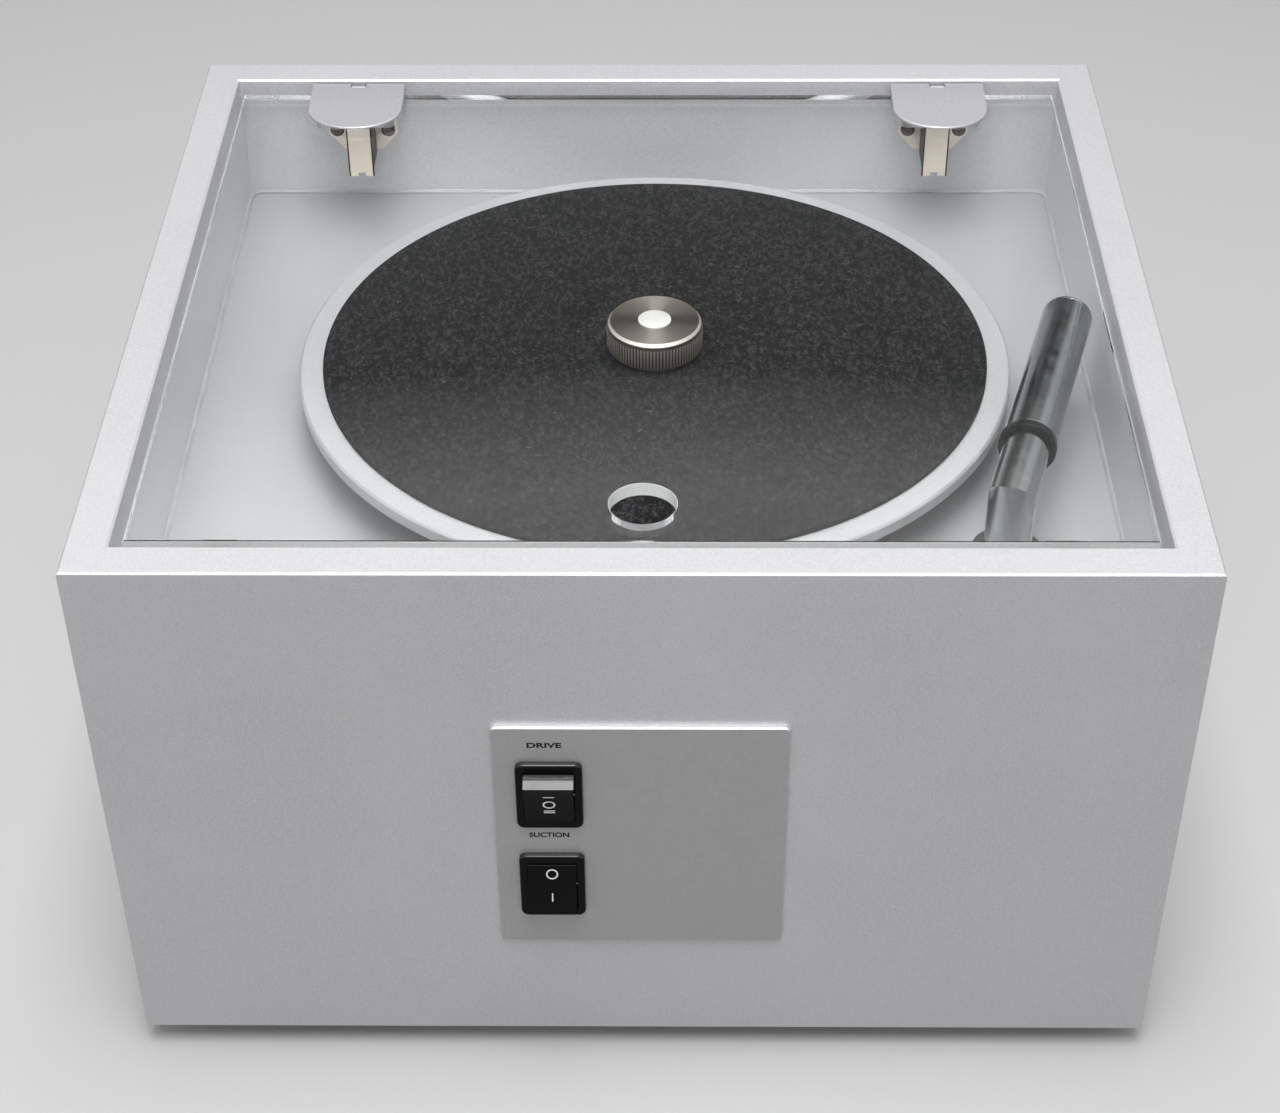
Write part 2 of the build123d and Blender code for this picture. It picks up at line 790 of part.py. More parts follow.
arm_back_y = inner_back_y - wing_thickness
arm_front_y = arm_back_y - hinge_arm_depth
arm_low = hinge_arm_top - hinge_arm_length
bridge_low = wing_top + clear_gap
with BuildPart() as hinge_arms:
    for centre in hinge_places:
        with BuildPart(mode=Mode.PRIVATE) as hinge_arm:
            with BuildSketch(facing_side(centre - hinge_arm_width / 2)):
                with BuildLine():
                    Polyline(
                        (arm_back_y, arm_low + hinge_arm_tip),
                        (arm_back_y, bridge_low),
                        (inner_back_y, bridge_low),
                        (inner_back_y, hinge_arm_top),
                        (arm_front_y, hinge_arm_top),
                        (arm_front_y, arm_low),
                        (arm_front_y + hinge_arm_wall, arm_low),
                        (arm_front_y + hinge_arm_wall, arm_low + hinge_arm_tip),
                        close=True,
                    )
                make_face()
            extrude(amount=hinge_arm_width)
            with BuildSketch(facing_side(centre - hinge_arm_width / 2 + hinge_arm_wall)):
                with BuildLine():
                    Polyline(
                        (arm_back_y, arm_low),
                        (arm_back_y, bridge_low - hinge_arm_wall),
                        (arm_front_y + hinge_arm_wall, bridge_low - hinge_arm_wall),
                        (arm_front_y + hinge_arm_wall, arm_low),
                        close=True,
                    )
                make_face()
            extrude(amount=hinge_arm_width - 2 * hinge_arm_wall, mode=Mode.SUBTRACT)
            with BuildSketch(facing_front(arm_front_y)):
                with Locations((centre, arm_low)):
                    Rectangle(hinge_arm_width * 0.3, hinge_arm_tip)
            extrude(amount=-hinge_arm_wall, mode=Mode.SUBTRACT)
            with BuildSketch(facing_side(centre - knuckle_width / 2)):
                with BuildLine():
                    Polyline(
                        (inner_back_y, hinge_arm_top),
                        (inner_back_y, axis_z + knuckle_radius),
                        (axis_y, axis_z + knuckle_radius),
                        (axis_y, axis_z - knuckle_radius),
                        (inner_back_y - strap_thickness, axis_z - knuckle_radius),
                        (inner_back_y - strap_thickness, hinge_arm_top),
                        close=True,
                    )
                make_face()
                with Locations((axis_y, axis_z)):
                    Circle(knuckle_radius)
                    Circle(pin_radius + running_fit, mode=Mode.SUBTRACT)
            extrude(amount=knuckle_width)
        add(hinge_arm.part)
finish(hinge_arms, "hinge_arms")

with BuildPart() as hinge_wings:
    for centre in hinge_places:
        with BuildSketch(facing_front(inner_back_y)):
            with BuildLine():
                Polyline(
                    (centre - wing_half_width, wing_top),
                    (centre + wing_half_width, wing_top),
                    (centre + wing_half_width, wing_top - wing_shoulder),
                    (centre + wing_foot, wing_top - wing_height),
                    (centre - wing_foot, wing_top - wing_height),
                    (centre - wing_half_width, wing_top - wing_shoulder),
                    close=True,
                )
            make_face()
            with Locations((centre - wing_screw_x, wing_screw_z), (centre + wing_screw_x, wing_screw_z)):
                Circle(wing_screw_shank / 2 + screw_fit, mode=Mode.SUBTRACT)
        extrude(amount=wing_thickness)
finish(hinge_wings, "hinge_wings")

with BuildPart() as hinge_screws:
    for x, z in wing_screw_places:
        add(
            pan_screw(
                (x, inner_back_y - wing_thickness, z),
                (0, 1, 0),
                wing_screw_shank,
                wing_screw_length,
                wing_screw_head,
                wing_screw_head_height,
            )
        )
finish(hinge_screws, "hinge_screws")

with BuildPart() as lid_pads:
    for side in (-1, 1):
        with BuildSketch(Plane.XY.offset(lid_bottom - clear_gap)):
            with Locations((side * pad_x, inner_front_y + pad_depth / 2)):
                Rectangle(pad_width, pad_depth)
        extrude(amount=-pad_height)
finish(lid_pads, "lid_pads")

# ================================================================ platter, bearing and drive
with BuildPart() as platter:
    with BuildSketch(Plane.XY.offset(platter_bottom)):
        with Locations((platter_x, platter_centre_y)):
            Circle(platter_diameter / 2)
            Circle(shaft_diameter / 2 + seat_fit, mode=Mode.SUBTRACT)
    extrude(amount=platter_thickness)
    chamfer(platter.faces().sort_by(Axis.Z)[-1].outer_wire().edges(), platter_bevel)
finish(platter, "platter")

with BuildPart() as platter_mat:
    with BuildSketch(Plane.XY.offset(platter_top)):
        with Locations((platter_x, platter_centre_y)):
            Circle(mat_diameter / 2)
            Circle(spindle_diameter / 2 + seat_fit, mode=Mode.SUBTRACT)
    extrude(amount=mat_thickness)
finish(platter_mat, "platter_mat")

with BuildPart() as platter_shaft:
    centre = (platter_x, platter_centre_y)
    round_bar((*centre, shaft_bottom), (0, 0, 1), shaft_diameter / 2, platter_top - shaft_bottom)
    round_bar((*centre, hub_bottom), (0, 0, 1), hub_diameter / 2, platter_bottom - hub_bottom)
    round_bar((*centre, platter_top), (0, 0, 1), spindle_diameter / 2, spindle_top - platter_top)
    chamfer(platter_shaft.faces().sort_by(Axis.Z)[-1].edges(), spindle_edge)
finish(platter_shaft, "platter_shaft")

with BuildPart() as bearing_housing:
    centre = (platter_x, platter_centre_y)
    round_bar((*centre, housing_bottom), (0, 0, 1), housing_diameter / 2, deck_top - housing_bottom)
    round_bar((*centre, deck_top), (0, 0, 1), flange_diameter / 2, flange_thickness)
    round_bar(
        (*centre, housing_bottom),
        (0, 0, 1),
        bush_diameter / 2 + seat_fit,
        flange_top - housing_bottom,
        Mode.SUBTRACT,
    )
    with BuildSketch(Plane.XY.offset(deck_top)):
        with Locations(*flange_screw_places):
            Circle(screw_shank / 2 + screw_fit)
    extrude(amount=flange_thickness, mode=Mode.SUBTRACT)
finish(bearing_housing, "bearing_housing")

with BuildPart() as bearing_bushes:
    centre = (platter_x, platter_centre_y)
    for low in (housing_bottom, flange_top - bush_length):
        round_bar((*centre, low), (0, 0, 1), bush_diameter / 2, bush_length)
    round_bar((*centre, flange_top), (0, 0, 1), bush_flange / 2, bush_flange_thickness)
    bore_length = flange_top + bush_flange_thickness - housing_bottom
    round_bar(
        (*centre, housing_bottom), (0, 0, 1), shaft_diameter / 2 + running_fit, bore_length, Mode.SUBTRACT
    )
finish(bearing_bushes, "bearing_bushes")

def belt_pulley(centre, diameter, bore):
    """A flat-belt pulley: a disc with a shallow groove between two lips."""
    radius = diameter / 2
    with BuildPart() as wheel:
        with BuildSketch(Plane.XZ.shift_origin((0, 0, 0))):
            with BuildLine():
                Polyline(
                    (bore / 2, 0),
                    (radius + pulley_groove, 0),
                    (radius + pulley_groove, pulley_lip),
                    (radius, pulley_lip),
                    (radius, pulley_thickness - pulley_lip),
                    (radius + pulley_groove, pulley_thickness - pulley_lip),
                    (radius + pulley_groove, pulley_thickness),
                    (bore / 2, pulley_thickness),
                    close=True,
                )
            make_face()
        revolve(axis=Axis.Z)
    return Pos(*centre, pulley_bottom) * wheel.part


with BuildPart() as drive_pulley:
    add(belt_pulley((platter_x, platter_centre_y), pulley_diameter, shaft_diameter))
finish(drive_pulley, "drive_pulley")

with BuildPart() as motor_pulley:
    add(belt_pulley((motor_x, drive_centre_y), small_pulley_diameter, motor_shaft_diameter))
finish(motor_pulley, "motor_pulley")

with BuildPart() as drive_belt:
    for extra, mode in ((clear_gap + belt_thickness, Mode.ADD), (clear_gap, Mode.SUBTRACT)):
        with BuildSketch(Plane.XY.offset(pulley_belt_z - belt_width / 2)):
            with Locations((platter_x, platter_centre_y)):
                Circle(pulley_diameter / 2 + extra)
            with Locations((motor_x, drive_centre_y)):
                Circle(small_pulley_diameter / 2 + extra)
            make_hull()
        extrude(amount=belt_width, mode=mode)
finish(drive_belt, "drive_belt")

motor_top = deck_bottom - motor_plate_thickness
with BuildPart() as motor_plate:
    with BuildSketch(Plane.XY.offset(motor_top)):
        with Locations((motor_x, drive_centre_y)):
            Rectangle(motor_plate_size, motor_plate_size)
            Circle(motor_plate_hole / 2, mode=Mode.SUBTRACT)
        with Locations(*motor_screw_places):
            Circle(screw_shank / 2 + screw_fit, mode=Mode.SUBTRACT)
    extrude(amount=motor_plate_thickness)
finish(motor_plate, "motor_plate")

motor_bottom = motor_top - motor_height
with BuildPart() as drive_motor:
    round_bar((motor_x, drive_centre_y, motor_bottom), (0, 0, 1), motor_diameter / 2, motor_height)
    shaft_hole = motor_height / 2
    round_bar(
        (motor_x, drive_centre_y, motor_bottom),
        (0, 0, 1),
        motor_shaft_diameter / 2 + running_fit,
        shaft_hole + seat_fit,
        Mode.SUBTRACT,
    )
finish(drive_motor, "drive_motor")

with BuildPart() as motor_shaft:
    shaft_low = pulley_bottom - motor_shaft_overhang
    round_bar(
        (motor_x, drive_centre_y, shaft_low),
        (0, 0, 1),
        motor_shaft_diameter / 2,
        motor_bottom + shaft_hole - shaft_low,
    )
finish(motor_shaft, "motor_shaft")

# ================================================================ record clamp
with BuildPart() as clamp_knob:
    centre = (platter_x, platter_centre_y)
    knob_height = knob_top - knob_bottom
    round_bar((*centre, knob_bottom), (0, 0, 1), knob_diameter / 2, knob_height)
    chamfer(clamp_knob.faces().sort_by(Axis.Z)[-1].edges(), knob_bevel)
    round_bar((*centre, knob_top), (0, 0, 1), badge_diameter / 2, badge_height)
    round_bar(
        (*centre, knob_bottom),
        (0, 0, 1),
        spindle_diameter / 2 + running_fit,
        knob_height - knob_bore_roof,
        Mode.SUBTRACT,
    )
    knurl_height = knob_height - knurl_top_margin - knurl_bottom_margin
    with BuildSketch(Plane.XY.offset(knob_bottom + knurl_bottom_margin)):
        with Locations((platter_x, platter_centre_y)):
            with PolarLocations(knob_diameter / 2, knurl_count):
                Rectangle(knurl_depth * 1.42, knurl_depth * 1.42, rotation=45)
    extrude(amount=knurl_height, mode=Mode.SUBTRACT)
finish(clamp_knob, "clamp_knob")

with BuildPart() as clamp_pad:
    centre = (platter_x, platter_centre_y, mat_top + running_fit)
    round_bar(centre, (0, 0, 1), clamp_pad_diameter / 2, clamp_pad_thickness - 2 * running_fit)
    round_bar(centre, (0, 0, 1), spindle_diameter / 2 + running_fit, clamp_pad_thickness, Mode.SUBTRACT)
finish(clamp_pad, "clamp_pad")

# ================================================================ suction arm
arm_foot = (arm_x, arm_centre_y, arm_tube_bottom)
with BuildPart() as arm_tube:
    with BuildLine():
        Polyline(arm_foot, across_arm(0).origin, across_arm(arm_stub).origin)
    with BuildSketch(Plane(origin=arm_foot, z_dir=(0, 0, 1))):
        Circle(arm_tube_diameter / 2)
        Circle(arm_tube_diameter / 2 - arm_tube_wall, mode=Mode.SUBTRACT)
    sweep(transition=Transition.RIGHT)
finish(arm_tube, "arm_tube")

nozzle_radius = nozzle_diameter / 2
nozzle_bore = nozzle_radius - nozzle_wall
with BuildPart() as nozzle_tube:
    with BuildSketch(across_arm(nozzle_start)):
        Circle(nozzle_radius)
        Circle(nozzle_bore, mode=Mode.SUBTRACT)
    extrude(amount=nozzle_end - end_cap_thickness - nozzle_start)
    with BuildSketch(across_arm(slot_start)):
        with Locations((0, -nozzle_radius)):
            Rectangle(slot_width, nozzle_radius)
    extrude(amount=slot_end - slot_start, mode=Mode.SUBTRACT)
finish(nozzle_tube, "nozzle_tube")

with BuildPart() as nozzle_cap:
    with BuildSketch(across_arm(nozzle_end)):
        Circle(nozzle_radius)
    extrude(amount=-end_cap_thickness)
    with BuildSketch(across_arm(nozzle_end - end_cap_thickness)):
        Circle(nozzle_bore - seat_fit)
    extrude(amount=-end_cap_plug)
finish(nozzle_cap, "nozzle_cap")

with BuildPart() as nozzle_collar:
    with BuildSketch(across_arm(nozzle_start)):
        Circle(collar_diameter / 2)
        Circle(arm_tube_diameter / 2 + running_fit, mode=Mode.SUBTRACT)
    extrude(amount=-collar_length)
finish(nozzle_collar, "nozzle_collar")

with BuildPart() as velvet_strips:
    for side in (-1, 1):
        outer = nozzle_radius + velvet_thickness
        first = math.radians(-90 + side * velvet_from_angle)
        last = math.radians(-90 + side * velvet_to_angle)
        middle = (first + last) / 2

        def spot(radius, angle):
            return (radius * math.cos(angle), radius * math.sin(angle))

        with BuildSketch(across_arm(velvet_start)):
            with BuildLine():
                inner_arc = [spot(nozzle_radius, angle) for angle in (first, middle, last)]
                ThreePointArc(*inner_arc)
                Line(spot(nozzle_radius, last), spot(outer, last))
                ThreePointArc(spot(outer, last), spot(outer, middle), spot(outer, first))
                Line(spot(outer, first), spot(nozzle_radius, first))
            make_face()
        extrude(amount=velvet_end - velvet_start)
finish(velvet_strips, "velvet_strips")

arm_bore = arm_tube_diameter / 2 + running_fit
with BuildPart() as arm_bush:
    centre = (arm_x, arm_centre_y)
    round_bar((*centre, deck_top), (0, 0, 1), arm_bush_diameter / 2, arm_bush_height)
    fillet(arm_bush.faces().sort_by(Axis.Z)[-1].edges(), arm_bush_edge)
    round_bar((*centre, arm_bush_bottom), (0, 0, 1), arm_bush_neck / 2, deck_top - arm_bush_bottom)
    bush_height = deck_top + arm_bush_height - arm_bush_bottom
    round_bar((*centre, arm_bush_bottom), (0, 0, 1), arm_bore, bush_height, Mode.SUBTRACT)
finish(arm_bush, "arm_bush")

stop_ring_top = arm_bush_bottom - seat_fit
stop_ring_bottom = stop_ring_top - stop_ring_height
with BuildPart() as stop_ring:
    centre = (arm_x, arm_centre_y, stop_ring_bottom)
    round_bar(centre, (0, 0, 1), stop_ring_diameter / 2, stop_ring_height)
    round_bar(centre, (0, 0, 1), arm_bore, stop_ring_height, Mode.SUBTRACT)
finish(stop_ring, "stop_ring")

spring_bottom = tank_lid_top + socket_height + spring_wire / 2
spring_length = stop_ring_bottom - spring_wire / 2 - spring_bottom
spring_radius = spring_coil_diameter / 2
with BuildPart() as arm_spring:
    with BuildLine(Plane(origin=(arm_x, arm_centre_y, spring_bottom))):
        coil = Helix(spring_length / spring_turns, spring_length, spring_radius)
    with BuildSketch(Plane(origin=coil @ 0, z_dir=coil % 0)):
        Circle(spring_wire / 2)
    sweep(is_frenet=True)
finish(arm_spring, "arm_spring")

# ================================================================ waste tank and drain
tank_length = tank_back - tank_front
tank_middle_y = mid_y + (tank_back + tank_front) / 2
tank_back_y = mid_y + tank_back
with BuildPart() as waste_tank:
    with BuildSketch(Plane.XY.offset(tank_bottom)):
        with Locations((tank_x, tank_middle_y)):
            RectangleRounded(tank_width, tank_length, tank_corner)
    extrude(amount=tank_height)
    with BuildSketch(Plane.XY.offset(tank_bottom + tank_wall)):
        with Locations((tank_x, tank_middle_y)):
            inside_width = tank_width - 2 * tank_wall
            RectangleRounded(inside_width, tank_length - 2 * tank_wall, tank_corner - tank_wall)
    extrude(amount=tank_height, mode=Mode.SUBTRACT)
    spout_hole = (spout_x, tank_back_y - tank_wall, spout_z)
    round_bar(spout_hole, (0, 1, 0), spout_diameter / 2 + seat_fit, tank_wall, Mode.SUBTRACT)
finish(waste_tank, "waste_tank")

with BuildPart() as tank_lid:
    with BuildSketch(Plane.XY.offset(tank_top)):
        with Locations((tank_x, tank_middle_y)):
            RectangleRounded(tank_width, tank_length, tank_corner)
    extrude(amount=tank_lid_thickness)
    with BuildSketch(Plane.XY.offset(tank_top)):
        with Locations((tank_x, tank_middle_y)):
            RectangleRounded(
                tank_width - 2 * (tank_wall + seat_fit),
                tank_length - 2 * (tank_wall + seat_fit),
                tank_corner - tank_wall - seat_fit,
            )
    extrude(amount=-tank_lid_lip)
    pocket = Mode.SUBTRACT
    centre = (arm_x, arm_centre_y)
    round_bar((*centre, tank_lid_top), (0, 0, 1), arm_bore + socket_wall, socket_height)
    socket_low = tank_top - tank_lid_lip + socket_floor
    round_bar((*centre, socket_low), (0, 0, 1), arm_bore, tank_lid_top + socket_height - socket_low, pocket)
    round_bar((*centre, tank_top - tank_lid_lip), (0, 0, 1), socket_throat / 2, socket_floor, pocket)
    centre = (tank_x, mid_y + hose_spigot_y)
    round_bar((*centre, tank_lid_top), (0, 0, 1), spigot_diameter / 2, spigot_height)
    spigot_low = tank_top - tank_lid_lip
    spigot_length = tank_lid_top + spigot_height - spigot_low
    round_bar((*centre, spigot_low), (0, 0, 1), spigot_bore / 2, spigot_length, pocket)
finish(tank_lid, "tank_lid")

service_front_y = inner_back_y - service_thickness
spout_end_y = inner_back_y + spout_reach
spout_start_y = tank_back_y - tank_wall
with BuildPart() as drain_spout:
    start = (spout_x, spout_start_y, spout_z)
    spout_length = spout_end_y - spout_start_y
    round_bar(start, (0, 1, 0), spout_diameter / 2, spout_length)
    round_bar((spout_x, tank_back_y, spout_z), (0, 1, 0), spout_flange / 2, spout_flange_thickness)
    round_bar(start, (0, 1, 0), spout_bore / 2, spout_length, Mode.SUBTRACT)
finish(drain_spout, "drain_spout")

drain_cap_y = spout_end_y + clear_gap + drain_cap_roof - cap_length
with BuildPart() as drain_cap:
    start = (spout_x, drain_cap_y, spout_z)
    round_bar(start, (0, 1, 0), spout_diameter / 2 + cap_wall, cap_length)
    round_bar(start, (0, 1, 0), spout_diameter / 2 + running_fit, cap_length - drain_cap_roof, Mode.SUBTRACT)
    chamfer(drain_cap.faces().sort_by(Axis.Y)[-1].edges(), cap_wall * 0.3)
finish(drain_cap, "drain_cap")

# ================================================================ vacuum fan and hose
vacuum_motor_height = fan_bottom - vacuum_motor_bottom
fan_shaft_hole = vacuum_motor_height / 2
fan_centre = (fan_x, fan_centre_y)

with BuildPart() as mount_ring:
    ring_height = vacuum_motor_bottom + mount_ring_lip - base_top
    ring_floor = vacuum_motor_bottom - base_top
    round_bar((*fan_centre, base_top), (0, 0, 1), mount_ring_outer / 2, ring_height)
    round_bar(
        (*fan_centre, vacuum_motor_bottom),
        (0, 0, 1),
        vacuum_motor_diameter / 2 + seat_fit,
        mount_ring_lip,
        Mode.SUBTRACT,
    )
    round_bar((*fan_centre, base_top), (0, 0, 1), mount_ring_inner / 2, ring_floor, Mode.SUBTRACT)
finish(mount_ring, "mount_ring")

with BuildPart() as vacuum_motor:
    round_bar((*fan_centre, vacuum_motor_bottom), (0, 0, 1), vacuum_motor_diameter / 2, vacuum_motor_height)
    round_bar(
        (*fan_centre, fan_bottom),
        (0, 0, -1),
        vacuum_shaft_diameter / 2 + running_fit,
        fan_shaft_hole + seat_fit,
        Mode.SUBTRACT,
    )
finish(vacuum_motor, "vacuum_motor")

outlet_reach = inner_back_y - clear_gap - fan_centre_y
with BuildPart() as fan_housing:
    round_bar((*fan_centre, fan_bottom), (0, 0, 1), fan_diameter / 2, fan_height)
    with BuildSketch(facing_back(fan_centre_y)):
        with Locations((-fan_x, fan_bottom + fan_height / 2)):
            Rectangle(outlet_width, outlet_height)
    extrude(amount=outlet_reach)
    round_bar((*fan_centre, fan_top), (0, 0, 1), spigot_diameter / 2, spigot_height)
    round_bar(
        (*fan_centre, fan_bottom + fan_wall),
        (0, 0, 1),
        fan_diameter / 2 - fan_wall,
        fan_height - 2 * fan_wall,
        Mode.SUBTRACT,
    )
    with BuildSketch(facing_back(fan_centre_y)):
        with Locations((-fan_x, fan_bottom + fan_height / 2)):
            Rectangle(outlet_width - 2 * outlet_wall, outlet_height - 2 * outlet_wall)
    extrude(amount=outlet_reach, mode=Mode.SUBTRACT)
    spigot_foot = (*fan_centre, fan_top - fan_wall)
    round_bar(spigot_foot, (0, 0, 1), spigot_bore / 2, spigot_height + fan_wall, Mode.SUBTRACT)
    shaft_hole_radius = vacuum_shaft_diameter / 2 + clear_gap
    round_bar((*fan_centre, fan_bottom), (0, 0, 1), shaft_hole_radius, fan_wall, Mode.SUBTRACT)
finish(fan_housing, "fan_housing")

impeller_bottom = fan_bottom + fan_wall + impeller_lift
with BuildPart() as impeller:
    round_bar((*fan_centre, impeller_bottom), (0, 0, 1), impeller_diameter / 2, impeller_disc)
    impeller_height = impeller_disc + impeller_blade_height
    round_bar((*fan_centre, impeller_bottom), (0, 0, 1), impeller_hub / 2, impeller_height)
    blade_span = (impeller_diameter - impeller_hub) / 2
    with BuildSketch(Plane.XY.offset(impeller_bottom + impeller_disc)):
        with Locations((fan_x, fan_centre_y)):
            blade_circle = (impeller_hub + blade_span) / 2 - impeller_blade_inset
            with PolarLocations(blade_circle, impeller_blade_count):
                Rectangle(blade_span, impeller_blade_thickness)
    extrude(amount=impeller_blade_height)
    round_bar(
        (*fan_centre, impeller_bottom),
        (0, 0, 1),
        vacuum_shaft_diameter / 2,
        impeller_height,
        Mode.SUBTRACT,
    )
finish(impeller, "impeller")

with BuildPart() as fan_shaft:
    fan_shaft_low = fan_bottom - fan_shaft_hole
    fan_shaft_length = impeller_bottom + impeller_height - fan_shaft_low
    round_bar((*fan_centre, fan_shaft_low), (0, 0, 1), vacuum_shaft_diameter / 2, fan_shaft_length)
finish(fan_shaft, "fan_shaft")

hose_start = (fan_x, fan_centre_y, fan_top + clear_gap)
hose_end = (tank_x, mid_y + hose_spigot_y, tank_lid_top + clear_gap)
hose_bore = spigot_diameter / 2 + seat_fit
with BuildPart() as vacuum_hose:
    with BuildLine():
        FilletPolyline(
            hose_start,
            (hose_start[0], hose_start[1], hose_level),
            (hose_end[0], hose_end[1], hose_level),
            hose_end,
            radius=hose_bend,
        )
    with BuildSketch(Plane(origin=hose_start, z_dir=(0, 0, 1))):
        Circle(hose_bore + hose_wall)
        Circle(hose_bore, mode=Mode.SUBTRACT)
    sweep()
finish(vacuum_hose, "vacuum_hose")

# ================================================================ mains side
with BuildPart() as service_plate:
    with BuildSketch(facing_front(inner_back_y)):
        with Locations(back_window):
            Rectangle(window_width + 2 * service_margin, window_height + 2 * service_margin)
        with Locations((inlet_x, inlet_z)):
            Rectangle(
                inlet_width - 2 * inlet_inset + 2 * clear_gap,
                inlet_height - 2 * inlet_inset + 2 * clear_gap,
                mode=Mode.SUBTRACT,
            )
        with Locations((spout_x, spout_z)):
            Circle(spout_diameter / 2 + clear_gap, mode=Mode.SUBTRACT)
        with Locations(*service_screw_places):
            Circle(screw_shank / 2 + screw_fit, mode=Mode.SUBTRACT)
    extrude(amount=service_thickness)
finish(service_plate, "service_plate")

socket_z = inlet_z + socket_up
drawer_z = inlet_z - drawer_down
with BuildPart() as mains_inlet:
    with BuildSketch(facing_back(inner_back_y)):
        with Locations((-inlet_x, inlet_z)):
            RectangleRounded(inlet_width, inlet_height, inlet_inset)
    extrude(amount=inlet_flange)
    with BuildSketch(facing_back(inner_back_y)):
        with Locations((-inlet_x, inlet_z)):
            Rectangle(inlet_width - 2 * inlet_inset, inlet_height - 2 * inlet_inset)
    extrude(amount=-inlet_depth)
    with BuildSketch(facing_back(flange_face_y)):
        with Locations((-inlet_x, socket_z)):
            RectangleRounded(socket_width, socket_opening, socket_corner)
    extrude(amount=-socket_depth, mode=Mode.SUBTRACT)
    with BuildSketch(facing_back(flange_face_y)):
        with Locations((-inlet_x, drawer_z)):
            Rectangle(drawer_width + 2 * seat_fit, drawer_height + 2 * seat_fit)
    extrude(amount=-(drawer_depth + clear_gap), mode=Mode.SUBTRACT)
finish(mains_inlet, "mains_inlet")

socket_floor_y = flange_face_y - socket_depth
pin_places = [
    (-inlet_x, socket_z + inlet_pin_rise),
    (-inlet_x - inlet_pin_pitch, socket_z - inlet_pin_rise),
    (-inlet_x + inlet_pin_pitch, socket_z - inlet_pin_rise),
]
with BuildPart() as inlet_pins:
    with BuildSketch(facing_back(socket_floor_y)):
        with Locations(*pin_places):
            Rectangle(inlet_pin_thickness, inlet_pin_width)
    extrude(amount=inlet_pin_length)
finish(inlet_pins, "inlet_pins")

with BuildPart() as fuse_drawer:
    with BuildSketch(facing_back(flange_face_y)):
        with Locations((-inlet_x, drawer_z)):
            Rectangle(drawer_width, drawer_height)
    extrude(amount=-drawer_depth)
    with BuildSketch(facing_back(flange_face_y + clear_gap)):
        with Locations((-inlet_x, drawer_z)):
            Rectangle(drawer_width + drawer_lip, drawer_height + drawer_lip)
    extrude(amount=drawer_lip)
    with BuildSketch(facing_back(flange_face_y)):
        with Locations((-inlet_x, drawer_z)):
            Rectangle(drawer_width / 2, drawer_height / 2)
    extrude(amount=clear_gap + drawer_lip)
    with BuildSketch(Plane.XY.offset(drawer_z + drawer_height / 2)):
        with Locations((inlet_x, flange_face_y - drawer_depth / 2 - fuse_set_back)):
            Rectangle(fuse_length + 2 * clear_gap, fuse_pocket)
    extrude(amount=-(fuse_diameter + 2 * clear_gap), mode=Mode.SUBTRACT)
finish(fuse_drawer, "fuse_drawer")

with BuildPart() as transformer:
    centre = (transformer_x, mid_y + transformer_y, base_top)
    round_bar(centre, (0, 0, 1), transformer_outer / 2, transformer_height)
    fillet(transformer.edges().filter_by(GeomType.CIRCLE), transformer_edge)
    round_bar(centre, (0, 0, 1), transformer_inner / 2, transformer_height, Mode.SUBTRACT)
finish(transformer, "transformer")

# ================================================================ one kind of screw, used throughout
screw_seats = [((x, y, foot_seat), (0, 0, 1)) for x, y in foot_places]
screw_seats += [((x, y, flange_top), (0, 0, -1)) for x, y in flange_screw_places]
screw_seats += [((x, y, deck_top), (0, 0, -1)) for x, y in motor_screw_places]
screw_seats += [((x, service_front_y, z), (0, 1, 0)) for x, z in service_screw_places]
with BuildPart() as cabinet_screws:
    for seat, direction in screw_seats:
        add(pan_screw(seat, direction, screw_shank, screw_length, screw_head, screw_head_height))
finish(cabinet_screws, "cabinet_screws")
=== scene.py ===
import json
import math
from functools import cache

import bmesh
import bpy
import numpy as np
from mathutils import Matrix, Vector


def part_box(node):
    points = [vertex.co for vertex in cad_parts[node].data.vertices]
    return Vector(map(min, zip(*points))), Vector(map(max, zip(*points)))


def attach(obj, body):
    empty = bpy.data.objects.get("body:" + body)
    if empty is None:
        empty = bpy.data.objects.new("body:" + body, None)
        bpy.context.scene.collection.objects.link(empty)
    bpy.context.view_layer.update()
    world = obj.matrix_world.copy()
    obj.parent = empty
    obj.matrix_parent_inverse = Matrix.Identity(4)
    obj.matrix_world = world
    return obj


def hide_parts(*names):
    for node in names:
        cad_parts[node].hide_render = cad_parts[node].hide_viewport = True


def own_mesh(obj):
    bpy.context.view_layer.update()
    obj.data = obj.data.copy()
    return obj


bl_info = {
    "name": "Record cleaning machine",
    "version": (1, 0, 0),
    "blender": (4, 5, 0),
    "location": "View3D > Sidebar > Record cleaner",
    "description": "Gives a record cleaning machine its finishes and fine shapes",
    "category": "Object",
}

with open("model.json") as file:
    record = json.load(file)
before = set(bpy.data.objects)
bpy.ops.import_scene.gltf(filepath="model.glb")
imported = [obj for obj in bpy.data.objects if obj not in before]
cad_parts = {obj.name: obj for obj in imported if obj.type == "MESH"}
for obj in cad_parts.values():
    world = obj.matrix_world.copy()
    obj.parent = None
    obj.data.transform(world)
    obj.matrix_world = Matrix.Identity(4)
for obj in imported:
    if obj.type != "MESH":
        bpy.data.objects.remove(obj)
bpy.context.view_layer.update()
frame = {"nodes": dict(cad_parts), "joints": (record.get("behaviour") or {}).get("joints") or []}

MM = 0.001


# ---- sizes read from the frame
def node_box(name):
    """The lowest and highest corner of a frame node, in metres, as arrays."""
    low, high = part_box(name)
    return np.array(low), np.array(high)


def node_centre(name):
    """The middle of a frame node's box."""
    low, high = node_box(name)
    return (low + high) / 2


